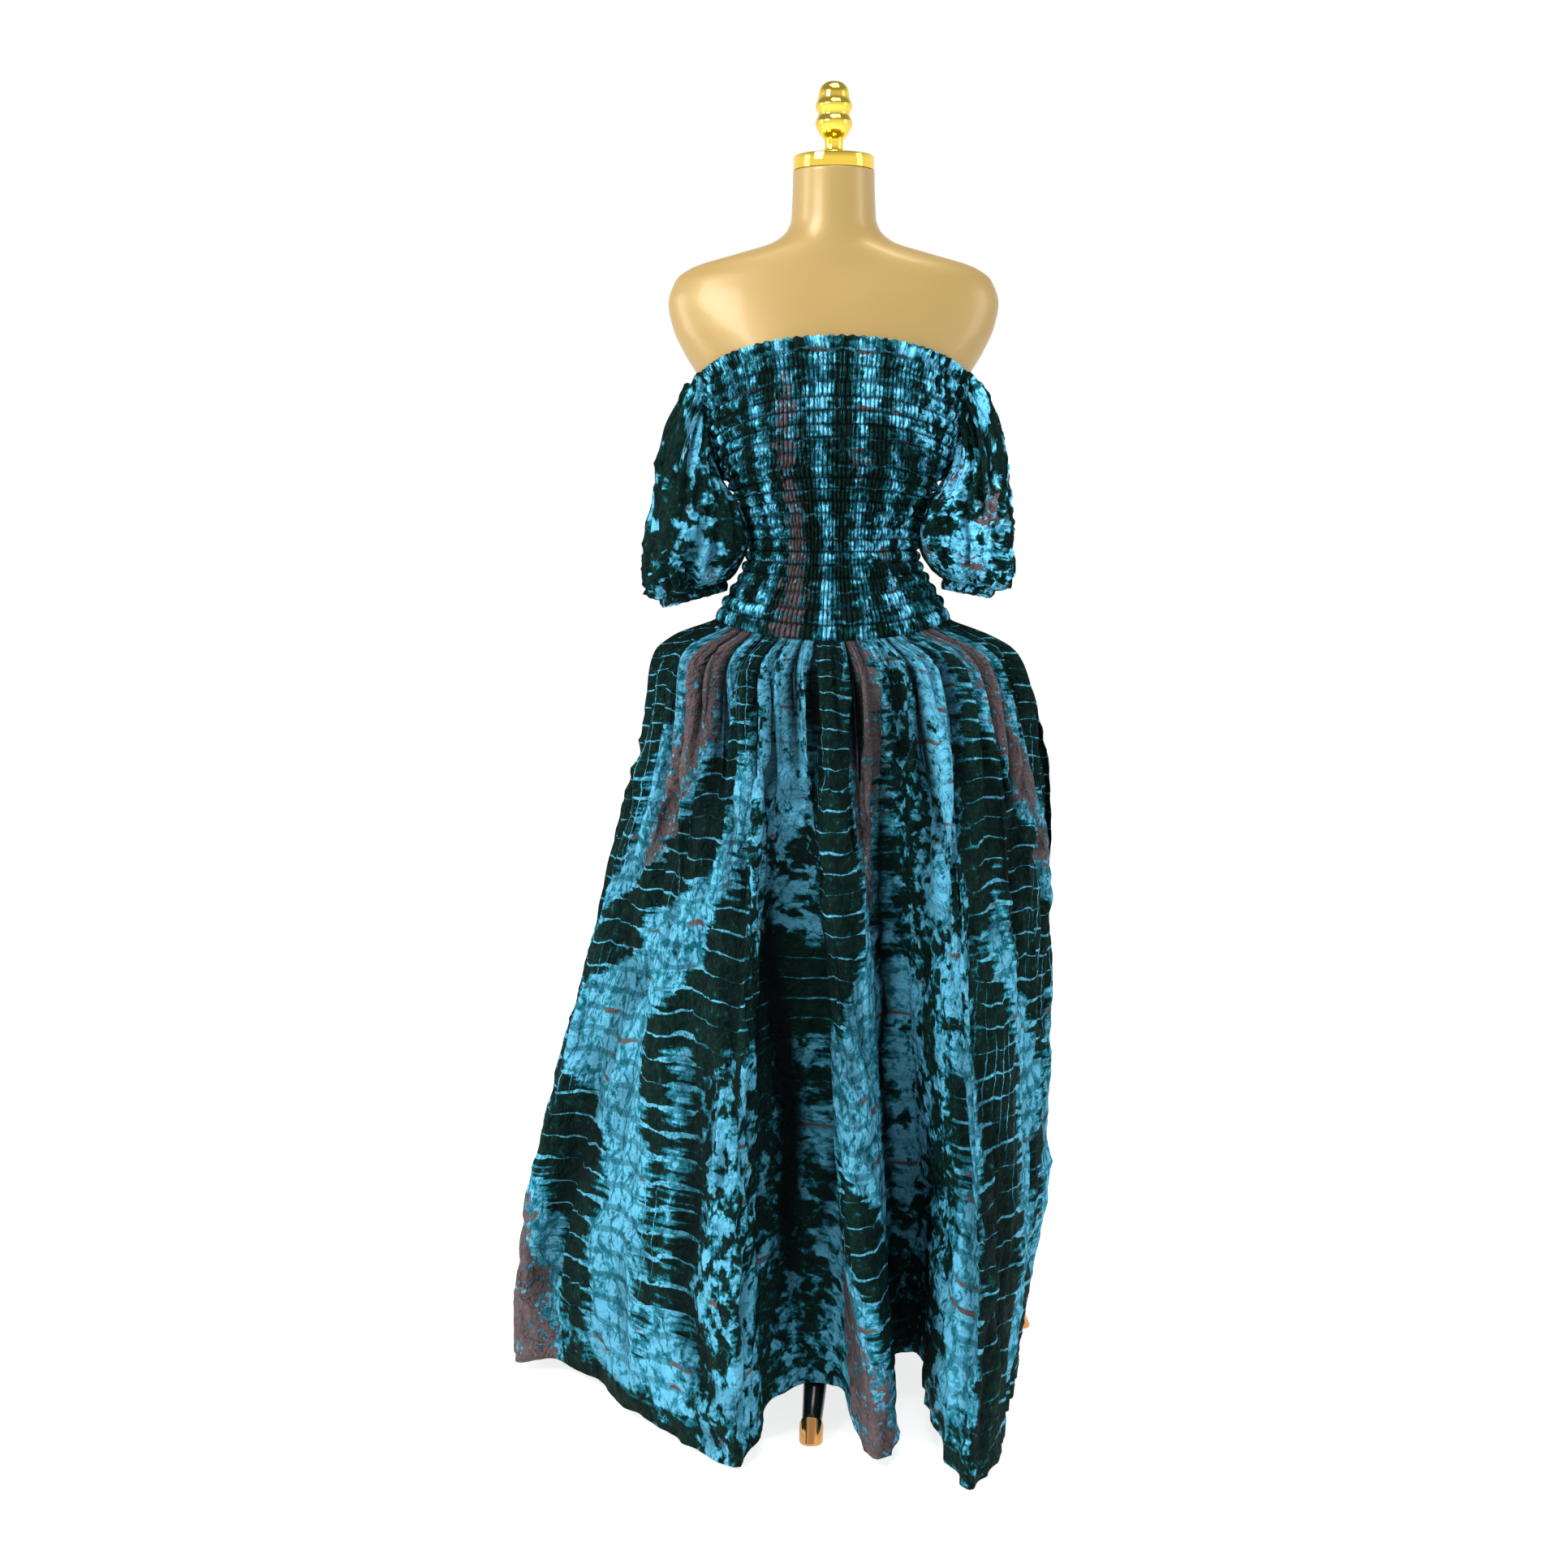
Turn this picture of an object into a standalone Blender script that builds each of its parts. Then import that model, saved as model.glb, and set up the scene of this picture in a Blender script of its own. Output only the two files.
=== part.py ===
"""A floor-length off-the-shoulder dress with a smocked bodice, on a limbless dress form and tripod stand.

Metres, +Z up. The stand's axis is the Z axis while the pieces are modelled, the wearer's front faces -Y,
and left and right are those of the picture, so left is -X. The last lines centre the whole on its own box.
"""

from collections import namedtuple
from math import atan2, cos, e, pi, radians, sin

import bmesh
import bpy
from mathutils import Vector

# Cloth
WALL = 0.0015
SEAM_GAP = 0.0003
FORM_CLEARANCE = 0.0016

# Bodice
NECKLINE_CENTRE_Z = 1.298
NECKLINE_SIDE_Z = 1.249
WAIST_SEAM_CENTRE_Z = 0.934
WAIST_SEAM_SIDE_Z = 0.956
SHIRRING_ROWS = 22
PUFFS_A_PANEL = 25
INNER_COLUMNS_A_PANEL = 16
ROW_CROWDING = 0.018
PUFF_HEIGHT = 0.0034
FRILL_HEIGHT = 0.0016
SIDE_SEAM_ANGLE = 0.0012

# Armholes and sleeves
UNDERARM_ROW = 13
ARMHOLE_HALF_ANGLE = radians(20)
SLEEVE_COLUMNS = 24
SLEEVE_FRONT_CORNER = SHIRRING_ROWS - UNDERARM_ROW
SLEEVE_BACK_CORNER = SLEEVE_COLUMNS - SLEEVE_FRONT_CORNER
SLEEVE_TOP_REACH = 0.171
SLEEVE_TOP_DIP = 0.013

# Skirt
FRONT_COLUMNS = 75
BACK_COLUMNS = 66
SKIRT_LEVELS = (0.0, 0.012, 0.045, 0.10, 0.17, 0.26, 0.38, 0.52, 0.67, 0.83, 1.0)
GATHER_HEIGHT = 0.0055
GATHER_REACH = 0.34
SOFT_FOLD_HEIGHT = 0.009
SOFT_FOLD_START = 0.22
SOFT_FOLD_FADE = 0.75
SOFT_FOLDS = (23, 14)
FOLD_GROWTH = 1.15
HEM_WEIGHT = 0.4

# Form and stand
FORM_COLUMNS = 32
FORM_TOP_Z = 1.503
FORM_BOTTOM_Z = 0.775
CAP_RADIUS = 0.0497
CAP_HEIGHT = 0.0172
CAP_EDGE = 0.0012
CAP_SIDES = 32
POLE_RADIUS = 0.0125
POLE_SIDES = 16
HUB_SIDES = 12
LEG_AZIMUTHS = (radians(-96), radians(24), radians(144))
LEG_SIDES = 10
SOLE_REACH = 0.281

Section = namedtuple("Section", "z side front back")
BODY = (
    Section(0.775, 0.148, 0.104, 0.110),
    Section(0.790, 0.157, 0.111, 0.119),
    Section(0.830, 0.162, 0.115, 0.127),
    Section(0.870, 0.163, 0.116, 0.128),
    Section(0.915, 0.159, 0.113, 0.123),
    Section(0.940, 0.151, 0.110, 0.117),
    Section(0.960, 0.1405, 0.106, 0.109),
    Section(0.980, 0.1275, 0.100, 0.100),
    Section(1.000, 0.1145, 0.093, 0.091),
    Section(1.020, 0.1045, 0.087, 0.083),
    Section(1.045, 0.0990, 0.083, 0.078),
    Section(1.065, 0.1005, 0.083, 0.077),
    Section(1.085, 0.1060, 0.084, 0.078),
    Section(1.110, 0.1160, 0.087, 0.081),
    Section(1.140, 0.1300, 0.092, 0.085),
    Section(1.170, 0.1420, 0.096, 0.089),
    Section(1.210, 0.1535, 0.097, 0.093),
    Section(1.250, 0.1650, 0.094, 0.095),
    Section(1.284, 0.1845, 0.088, 0.093),
    Section(1.314, 0.1980, 0.081, 0.088),
    Section(1.343, 0.2035, 0.073, 0.080),
    Section(1.372, 0.1940, 0.064, 0.071),
    Section(1.387, 0.1735, 0.060, 0.066),
    Section(1.402, 0.1240, 0.057, 0.061),
    Section(1.417, 0.0745, 0.054, 0.056),
    Section(1.431, 0.0575, 0.0525, 0.0535),
    Section(1.446, 0.0520, 0.0515, 0.0515),
    Section(1.503, 0.0500, 0.0500, 0.0500),
)
BUST_HEIGHT = 0.020
BUST_SPACING = 0.072
BUST_Z = 1.180
BUST_SPREAD = 0.056

Girth = namedtuple("Girth", "z left right front back")
SKIRT = (
    Girth(0.012, 0.406, 0.244, 0.325, 0.322),
    Girth(0.148, 0.398, 0.267, 0.312, 0.315),
    Girth(0.275, 0.371, 0.277, 0.295, 0.305),
    Girth(0.400, 0.337, 0.273, 0.275, 0.292),
    Girth(0.525, 0.302, 0.270, 0.252, 0.275),
    Girth(0.648, 0.268, 0.263, 0.232, 0.256),
    Girth(0.739, 0.239, 0.255, 0.216, 0.240),
    Girth(0.800, 0.223, 0.247, 0.206, 0.226),
    Girth(0.860, 0.211, 0.236, 0.192, 0.208),
    Girth(0.890, 0.206, 0.225, 0.180, 0.194),
    Girth(0.920, 0.194, 0.208, 0.162, 0.172),
    Girth(0.945, 0.172, 0.178, 0.138, 0.146),
    Girth(0.960, 0.156, 0.158, 0.118, 0.124),
)

# Each row is one line of cloth: its angle at the waist seam, and its end on the hem.
Fold = namedtuple("Fold", "angle x y z")
FOLDS = (
    Fold(180, -0.406, 0.020, 0.014),
    Fold(190, -0.396, -0.050, 0.012),
    Fold(200, -0.352, -0.062, 0.020),
    Fold(212, -0.300, -0.125, 0.016),
    Fold(224, -0.225, -0.245, 0.014),
    Fold(236, -0.150, -0.345, 0.012),
    Fold(243, -0.108, -0.383, 0.012),
    Fold(246, -0.092, -0.322, 0.022),
    Fold(250, -0.074, -0.264, 0.050),
    Fold(257, 0.002, -0.256, 0.058),
    Fold(262, 0.022, -0.312, 0.026),
    Fold(267, 0.045, -0.356, 0.012),
    Fold(272, 0.065, -0.318, 0.020),
    Fold(278, 0.066, -0.180, 0.054),
    Fold(286, 0.107, -0.152, 0.058),
    Fold(292, 0.112, -0.232, 0.034),
    Fold(299, 0.124, -0.370, 0.014),
    Fold(304, 0.142, -0.436, 0.010),
    Fold(310, 0.167, -0.405, 0.012),
    Fold(318, 0.192, -0.300, 0.014),
    Fold(330, 0.217, -0.150, 0.020),
    Fold(345, 0.238, -0.030, 0.034),
    Fold(360, 0.246, 0.050, 0.056),
    Fold(372, 0.252, 0.125, 0.062),
    Fold(386, 0.262, 0.215, 0.024),
    Fold(398, 0.225, 0.300, 0.012),
    Fold(408, 0.160, 0.258, 0.026),
    Fold(416, 0.118, 0.218, 0.034),
    Fold(426, 0.095, 0.325, 0.016),
    Fold(434, 0.050, 0.385, 0.010),
    Fold(442, 0.008, 0.325, 0.016),
    Fold(450, -0.020, 0.245, 0.034),
    Fold(460, -0.070, 0.300, 0.018),
    Fold(470, -0.130, 0.372, 0.010),
    Fold(480, -0.188, 0.328, 0.016),
    Fold(490, -0.215, 0.266, 0.030),
    Fold(502, -0.275, 0.290, 0.016),
    Fold(514, -0.345, 0.240, 0.010),
    Fold(527, -0.388, 0.130, 0.013),
    Fold(540, -0.406, 0.020, 0.014),
)

# Rings of each sleeve, armhole to cuff. share is how far a ring has left the loop of the armhole.
Ring = namedtuple("Ring", "share inner_x inner_z outer_x outer_z depth folds hug")
LEFT_SLEEVE = (
    Ring(0.00, 0.150, 1.130, 0.184, 1.240, 0.040, 0.0, 0.000),
    Ring(0.10, 0.152, 1.130, 0.184, 1.222, 0.044, 0.0, 0.000),
    Ring(0.60, 0.142, 1.118, 0.203, 1.188, 0.056, 0.4, 0.012),
    Ring(1.00, 0.126, 1.098, 0.214, 1.148, 0.068, 0.9, 0.028),
    Ring(1.00, 0.116, 1.074, 0.224, 1.100, 0.076, 1.0, 0.034),
    Ring(1.00, 0.112, 1.050, 0.232, 1.052, 0.078, 1.0, 0.030),
    Ring(1.00, 0.114, 1.030, 0.235, 1.012, 0.072, 1.0, 0.014),
    Ring(1.00, 0.120, 1.014, 0.231, 0.988, 0.060, 0.8, 0.000),
    Ring(1.00, 0.129, 1.003, 0.221, 0.977, 0.046, 0.4, 0.000),
    Ring(1.00, 0.131, 0.992, 0.219, 0.965, 0.047, 0.7, 0.000),
)
RIGHT_SLEEVE = (
    Ring(0.00, 0.150, 1.130, 0.187, 1.241, 0.040, 0.0, 0.000),
    Ring(0.10, 0.152, 1.130, 0.192, 1.222, 0.044, 0.0, 0.000),
    Ring(0.60, 0.142, 1.119, 0.208, 1.188, 0.056, 0.4, 0.012),
    Ring(1.00, 0.127, 1.100, 0.214, 1.150, 0.067, 0.9, 0.028),
    Ring(1.00, 0.118, 1.080, 0.219, 1.104, 0.074, 1.0, 0.034),
    Ring(1.00, 0.113, 1.058, 0.224, 1.060, 0.076, 1.0, 0.030),
    Ring(1.00, 0.114, 1.036, 0.225, 1.024, 0.070, 1.0, 0.014),
    Ring(1.00, 0.122, 1.018, 0.219, 1.000, 0.058, 0.8, 0.000),
    Ring(1.00, 0.134, 1.006, 0.206, 0.990, 0.044, 0.4, 0.000),
    Ring(1.00, 0.135, 0.994, 0.202, 0.978, 0.045, 0.7, 0.000),
)
SLEEVE_FOLD_SHARE = 0.075
SLEEVE_STAND = 0.007
ARMHOLE_SEAM = 0.0005

# Heights above the top of the cap.
Turn = namedtuple("Turn", "radius height")
FINIAL = (
    Turn(0.0160, 0.0003),
    Turn(0.0160, 0.0030),
    Turn(0.0120, 0.0070),
    Turn(0.0118, 0.0190),
    Turn(0.0185, 0.0285),
    Turn(0.0230, 0.0400),
    Turn(0.0190, 0.0500),
    Turn(0.0228, 0.0600),
    Turn(0.0198, 0.0680),
    Turn(0.0175, 0.0800),
    Turn(0.0105, 0.0878),
    Turn(0.0020, 0.0905),
)
FINIAL_SIDES = 16

# Heights above the floor.
HUB = (
    Turn(0.0165, 0.148),
    Turn(0.0300, 0.160),
    Turn(0.0300, 0.213),
    Turn(0.0186, 0.225),
)

# The leg's middle line, outwards and up.
Step = namedtuple("Step", "reach z radius")
LEG = (
    Step(0.0293, 0.190, 0.0165),
    Step(0.0600, 0.190, 0.0175),
    Step(0.1000, 0.176, 0.0185),
    Step(0.1400, 0.142, 0.0180),
    Step(0.1800, 0.098, 0.0165),
    Step(0.2200, 0.058, 0.0145),
    Step(0.2500, 0.033, 0.0128),
    Step(0.2700, 0.021, 0.0118),
)
FOOT = (
    Step(0.2703, 0.0208, 0.0128),
    Step(0.2745, 0.0183, 0.0142),
)
SOLE = (
    Turn(0.0140, 0.003),
    Turn(0.0130, 0.000),
)


def material(name, colour, roughness, metallic=0.0):
    """A plain finish in the piece's own colour."""
    made = bpy.data.materials.new(name)
    made.use_nodes = True
    shader = made.node_tree.nodes["Principled BSDF"]
    shader.inputs["Base Color"].default_value = (*colour, 1.0)
    shader.inputs["Roughness"].default_value = roughness
    shader.inputs["Metallic"].default_value = metallic
    made.diffuse_color = (*colour, 1.0)
    return made


def place(name, mesh_in_work, finish, holder):
    """Turns a bmesh into a named object under the holder, with its faces pointing out."""
    bmesh.ops.recalc_face_normals(mesh_in_work, faces=mesh_in_work.faces)
    mesh = bpy.data.meshes.new(name)
    mesh_in_work.to_mesh(mesh)
    mesh_in_work.free()
    mesh.materials.append(finish)
    mesh.shade_smooth()
    mesh.set_sharp_from_angle(angle=radians(50))
    made = bpy.data.objects.new(name, mesh)
    made.parent = holder
    bpy.context.scene.collection.objects.link(made)
    return made


def along(rows, key, at, field):
    """One column of a table at any height, on a smooth curve through its rows."""
    keys = [getattr(row, key) for row in rows]
    values = [getattr(row, field) for row in rows]
    if at <= keys[0]:
        return values[0]
    if at >= keys[-1]:
        return values[-1]
    i = max(k for k in range(len(keys) - 1) if keys[k] <= at)
    span = keys[i + 1] - keys[i]
    t = (at - keys[i]) / span

    def slope(k):
        if k == 0 or k == len(keys) - 1:
            return 0.0
        before = (values[k] - values[k - 1]) / (keys[k] - keys[k - 1])
        after = (values[k + 1] - values[k]) / (keys[k + 1] - keys[k])
        if before * after <= 0:
            return 0.0
        return 2 * before * after / (before + after)

    start = slope(i) * span
    end = slope(i + 1) * span
    return (
        values[i] * (1 + 2 * t) * (1 - t) ** 2
        + start * t * (1 - t) ** 2
        + values[i + 1] * t * t * (3 - 2 * t)
        + end * t * t * (t - 1)
    )


def body_point(angle, z, out):
    """A point of the general figure at this angle and height, moved out by the given distance."""
    side = along(BODY, "z", z, "side") + out
    deep = along(BODY, "z", z, "front" if sin(angle) < 0 else "back") + out
    x = side * cos(angle)
    y = deep * sin(angle)
    if sin(angle) < 0:
        rise = ((z - BUST_Z) / BUST_SPREAD) ** 2
        near = ((abs(x) - BUST_SPACING) / BUST_SPREAD) ** 2
        y -= BUST_HEIGHT * (-sin(angle)) ** 0.5 * e ** (-rise - near)
    return Vector((x, y, z))


def neckline_z(angle):
    """The bodice's top edge dips towards the sides."""
    return NECKLINE_SIDE_Z + (NECKLINE_CENTRE_Z - NECKLINE_SIDE_Z) * abs(sin(angle)) ** 1.6


def waist_seam_z(angle):
    """The seam of bodice and skirt rises towards the sides."""
    return WAIST_SEAM_SIDE_Z + (WAIST_SEAM_CENTRE_Z - WAIST_SEAM_SIDE_Z) * sin(angle) ** 2


def armhole_angle(row):
    """How far the edge of a bodice panel stands back from the side at this shirring row."""
    if row <= UNDERARM_ROW:
        return 0.0
    return ARMHOLE_HALF_ANGLE * ((row - UNDERARM_ROW) / (SHIRRING_ROWS - UNDERARM_ROW)) ** 0.5


def row_height(angle, row):
    """The height of a shirring row. The rows lie closer at the waist than at the bust."""
    low = waist_seam_z(angle)
    share = row / SHIRRING_ROWS
    spread = share + ROW_CROWDING * sin(2 * pi * share)
    return low + (neckline_z(angle) - low) * spread


def join_edges(bm, first, second):
    """Closes the strip between two rows of points that may differ in number."""
    i = j = 0
    while i < len(first) - 1 or j < len(second) - 1:
        ahead_first = (i + 1) / (len(first) - 1) if i < len(first) - 1 else 2.0
        ahead_second = (j + 1) / (len(second) - 1) if j < len(second) - 1 else 2.0
        if ahead_first <= ahead_second:
            bm.faces.new((first[i], first[i + 1], second[j]))
            i += 1
        else:
            bm.faces.new((first[i], second[j + 1], second[j]))
            j += 1


def grid_faces(bm, rows):
    """Fills a grid of points with four-sided faces."""
    for low, high in zip(rows, rows[1:]):
        for i in range(len(low) - 1):
            bm.faces.new((low[i], low[i + 1], high[i + 1], high[i]))


def edges_of(rows):
    """The four edges of a grid of points."""
    return rows[0], rows[-1], [row[0] for row in rows], [row[-1] for row in rows]


def bodice_row(panel_start, count, row, out):
    """One row of points of a bodice panel, from its edge on one side to its edge on the other."""
    below, above = armhole_angle(int(row)), armhole_angle(int(row + 0.5))
    inset = (below + above) / 2 + SIDE_SEAM_ANGLE
    angles = [panel_start + inset + (pi - 2 * inset) * i / count for i in range(count + 1)]
    return [body_point(angle, row_height(angle, row), out) for angle in angles]


def build_bodice_panel(name, panel_start, finish, holder):
    """One smocked panel: a plain inside, and outside one raised puff in each cell between the rows."""
    bm = bmesh.new()
    base = FORM_CLEARANCE + WALL
    corners = []
    for row in range(SHIRRING_ROWS + 1):
        frill = FRILL_HEIGHT if row == SHIRRING_ROWS else 0.0
        points = bodice_row(panel_start, PUFFS_A_PANEL, row, base)
        lifted = [p + frill * (i % 2) * p.xy.to_3d().normalized() for i, p in enumerate(points)]
        corners.append([bm.verts.new(p) for p in lifted])
    for row in range(SHIRRING_ROWS):
        tops = bodice_row(panel_start, 2 * PUFFS_A_PANEL, row + 0.5, base + PUFF_HEIGHT)
        for i in range(PUFFS_A_PANEL):
            middle = bm.verts.new(tops[2 * i + 1])
            low, high = corners[row], corners[row + 1]
            around = (low[i], low[i + 1], high[i + 1], high[i])
            for k in range(4):
                bm.faces.new((around[k], around[(k + 1) % 4], middle))
    inside = []
    for row in range(SHIRRING_ROWS + 1):
        points = bodice_row(panel_start, INNER_COLUMNS_A_PANEL, row, FORM_CLEARANCE)
        inside.append([bm.verts.new(p) for p in points])
    grid_faces(bm, inside)
    for outer_edge, inner_edge in zip(edges_of(corners), edges_of(inside)):
        join_edges(bm, outer_edge, inner_edge)
    return place(name, bm, finish, holder)


def armhole_loop(column):
    """The loop where a right sleeve meets the bodice, or ends free between the two panels' top corners."""
    front = SLEEVE_FRONT_CORNER
    back = SLEEVE_BACK_CORNER
    if front < column < back:
        share = (column - front) / (back - front)
        corner = armhole_loop(front)
        x = corner.x + (SLEEVE_TOP_REACH - corner.x) * sin(pi * share) ** 1.5
        return Vector((x, corner.y * (1 - 2 * share), corner.z - SLEEVE_TOP_DIP * sin(pi * share)))
    rows_up = min(column, SLEEVE_COLUMNS - column)
    angle = armhole_angle(UNDERARM_ROW + rows_up)
    if column <= front:
        angle = -angle
    point = body_point(angle, row_height(angle, UNDERARM_ROW + rows_up), FORM_CLEARANCE)
    inward = Vector((0, -point.y, 0)).normalized()
    return point + ARMHOLE_SEAM * (inward + Vector((0, 0, 1)))


def sleeve_grid(rings):
    """Points of a right sleeve, ring by ring, with its soft vertical folds."""
    grid = []
    for number, ring in enumerate(rings):
        row = []
        for column in range(SLEEVE_COLUMNS):
            turn = pi - 2 * pi * column / SLEEVE_COLUMNS
            inner = Vector((ring.inner_x, 0, ring.inner_z))
            outer = Vector((ring.outer_x, 0, ring.outer_z))
            middle = (inner + outer) / 2
            wave = cos(5 * turn + 0.8) + 0.5 * cos(3 * turn + 2.1 + 0.15 * number)
            swell = 1 + SLEEVE_FOLD_SHARE * ring.folds * wave * (1 - max(0.0, -cos(turn))) ** 0.5
            across = (outer - inner) / 2 * cos(turn)
            across.x -= ring.hug * max(0.0, -cos(turn)) * abs(sin(turn))
            deep = Vector((0, -ring.depth * sin(turn), 0))
            free = middle + (across + deep) * swell
            bound = armhole_loop(column)
            if number:
                bound.x += SLEEVE_STAND
            row.append(bound.lerp(free, ring.share))
        grid.append(row)
    return grid


def grid_normals(grid):
    """The outward direction at each point of a grid of closed rings, the first ring on top."""
    normals = []
    for r, row in enumerate(grid):
        line = []
        for c in range(len(row)):
            ahead, behind = row[(c + 1) % len(row)], row[c - 1]
            above, below = grid[max(r - 1, 0)][c], grid[min(r + 1, len(grid) - 1)][c]
            line.append((ahead - behind).cross(above - below).normalized())
        normals.append(line)
    return normals


def build_sleeve(name, rings, side, finish, holder):
    """An open tube of cloth from the armhole down to the gathered cuff."""
    outer = sleeve_grid(rings)
    normals = grid_normals(outer)
    inward = [[p - WALL * n for p, n in zip(row, line)] for row, line in zip(outer, normals)]
    bm = bmesh.new()
    walls = []
    for grid in (outer, inward):
        rows = [[bm.verts.new((side * p.x, p.y, p.z)) for p in row] for row in grid]
        rows = [row + row[:1] for row in rows]
        grid_faces(bm, rows)
        walls.append(rows)
    for end in (0, -1):
        grid_faces(bm, [walls[0][end], walls[1][end]])
    return place(name, bm, finish, holder)


def fold_at(angle):
    """Where the cloth that leaves the waist seam at this angle reaches the hem, on a smooth curve."""
    i = max(k for k in range(len(FOLDS) - 1) if FOLDS[k].angle <= angle)
    count = len(FOLDS) - 1
    four = []
    for k in (i - 1, i, i + 1, i + 2):
        row = FOLDS[k % count]
        four.append((row.angle + 360 * (k // count), Vector((row.x, row.y, row.z))))
    (a0, p0), (a1, p1), (a2, p2), (a3, p3) = four
    t = (angle - a1) / (a2 - a1)
    start = (p2 - p0) * (a2 - a1) / (a2 - a0)
    end = (p3 - p1) * (a2 - a1) / (a3 - a1)
    return (
        p1 * (1 + 2 * t) * (1 - t) ** 2
        + start * t * (1 - t) ** 2
        + p2 * t * t * (3 - 2 * t)
        + end * t * t * (t - 1)
    )


def column_angles(first, last, count):
    """Angles of a panel's columns, closer together where more cloth reaches the hem."""
    fine = 600
    angles = [first + (last - first) * i / fine for i in range(fine + 1)]
    lengths = [0.0]
    for before, after in zip(angles, angles[1:]):
        seam = radians(after - before) * BODY[5].side
        hem = (fold_at(after) - fold_at(before)).length
        lengths.append(lengths[-1] + seam + HEM_WEIGHT * hem)
    found = []
    for k in range(count + 1):
        wanted = lengths[-1] * k / count
        i = min(max(j for j in range(fine + 1) if lengths[j] <= wanted + 1e-12), fine - 1)
        part = (wanted - lengths[i]) / (lengths[i + 1] - lengths[i])
        found.append(angles[i] + (angles[i + 1] - angles[i]) * part)
    return found


def girth_point(angle, z):
    """The skirt's outline before its folds."""
    side = along(SKIRT, "z", z, "left" if cos(angle) < 0 else "right")
    deep = along(SKIRT, "z", z, "front" if sin(angle) < 0 else "back")
    return Vector((side * cos(angle), deep * sin(angle), z))


def skirt_point(column, degrees, level):
    """A point of the skirt's outer face. level runs from 0 at the waist seam to 1 at the hem."""
    angle = radians(degrees)
    hem = fold_at(degrees)
    top_z = waist_seam_z(angle) - SEAM_GAP
    z = top_z + (hem.z - top_z) * level
    seam = body_point(angle, top_z, FORM_CLEARANCE + WALL)
    plain = girth_point(angle, z)
    leaving = min(1.0, level / SKIRT_LEVELS[2])
    started = min(1.0, level / SOFT_FOLD_START)
    plain = Vector((*seam.xy.lerp(plain.xy, leaving * (2 - leaving)), z))
    folded = (hem - girth_point(angle, hem.z)) * level ** FOLD_GROWTH
    gather = 1.0 if column % 3 == 1 else 0.0
    gather *= GATHER_HEIGHT * leaving * max(0.0, 1 - level / GATHER_REACH)
    soft = cos(angle * SOFT_FOLDS[0] + 1.3 * sin(3 * angle)) + 0.6 * cos(angle * SOFT_FOLDS[1] + 2.0)
    soft *= SOFT_FOLD_HEIGHT * started * (1 - SOFT_FOLD_FADE * level)
    out = Vector((cos(angle), sin(angle), 0))
    raised = gather + soft + SOFT_FOLD_HEIGHT * started * (1 - level)
    return plain + folded.xy.to_3d() + out * raised


def skirt_grids():
    """The outer and the inner faces of the whole skirt, ring by ring, starting at the left side seam."""
    front = column_angles(180, 360, FRONT_COLUMNS)
    back = column_angles(360, 540, BACK_COLUMNS)
    angles = front + back[1:-1]
    outer = [[skirt_point(c, a, level) for c, a in enumerate(angles)] for level in SKIRT_LEVELS]
    normals = grid_normals(outer)
    for c, angle in enumerate(angles):
        normals[0][c] = Vector((cos(radians(angle)), sin(radians(angle)), 0))
    inner = [[p - WALL * n for p, n in zip(row, line)] for row, line in zip(outer, normals)]
    return outer, inner


def panel_rows(grid, first, last):
    """One panel's part of the rings, with its two edges drawn back from the seams."""
    rows = []
    for ring in grid:
        row = [ring[c % len(ring)].copy() for c in range(first, last + 1)]
        for end, beside in ((0, 1), (-1, -2)):
            step = (row[beside] - row[end]).normalized()
            row[end] += step * SEAM_GAP / 2
        rows.append(row)
    return rows


def build_skirt_panel(name, grids, first, last, finish, holder):
    """One gathered panel from the waist seam to the hem."""
    bm = bmesh.new()
    walls = []
    for grid in grids:
        rows = [[bm.verts.new(p) for p in row] for row in panel_rows(grid, first, last)]
        grid_faces(bm, rows)
        walls.append(rows)
    for outer_edge, inner_edge in zip(edges_of(walls[0]), edges_of(walls[1])):
        join_edges(bm, outer_edge, inner_edge)
    return place(name, bm, finish, holder)


def loft(bm, rings):
    """A closed solid through rings of equal numbers of points, flat at both ends."""
    made = [[bm.verts.new(p) for p in ring] for ring in rings]
    grid_faces(bm, [row + row[:1] for row in made])
    bm.faces.new(made[0])
    bm.faces.new(made[-1])


def circle(centre, across, up, radius, sides, turn=0.0):
    """A ring of points in the plane of two directions."""
    angles = [turn + 2 * pi * i / sides for i in range(sides)]
    return [centre + radius * (across * cos(a) + up * sin(a)) for a in angles]


def turned(name, profile, sides, finish, holder, turn=0.0):
    """A solid turned about the stand's axis from rows of radius and height."""
    bm = bmesh.new()
    x_axis, y_axis = Vector((1, 0, 0)), Vector((0, 1, 0))
    loft(bm, [circle(Vector((0, 0, z)), x_axis, y_axis, r, sides, turn) for r, z in profile])
    return place(name, bm, finish, holder)


def build_form(finish, holder):
    """The limbless form, from the cap's seat at the neck to its flat base under the hips."""
    bm = bmesh.new()
    angles = [2 * pi * i / FORM_COLUMNS for i in range(FORM_COLUMNS)]
    loft(bm, [[body_point(a, section.z, 0.0) for a in angles] for section in BODY])
    return place("form_torso", bm, finish, holder)


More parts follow.
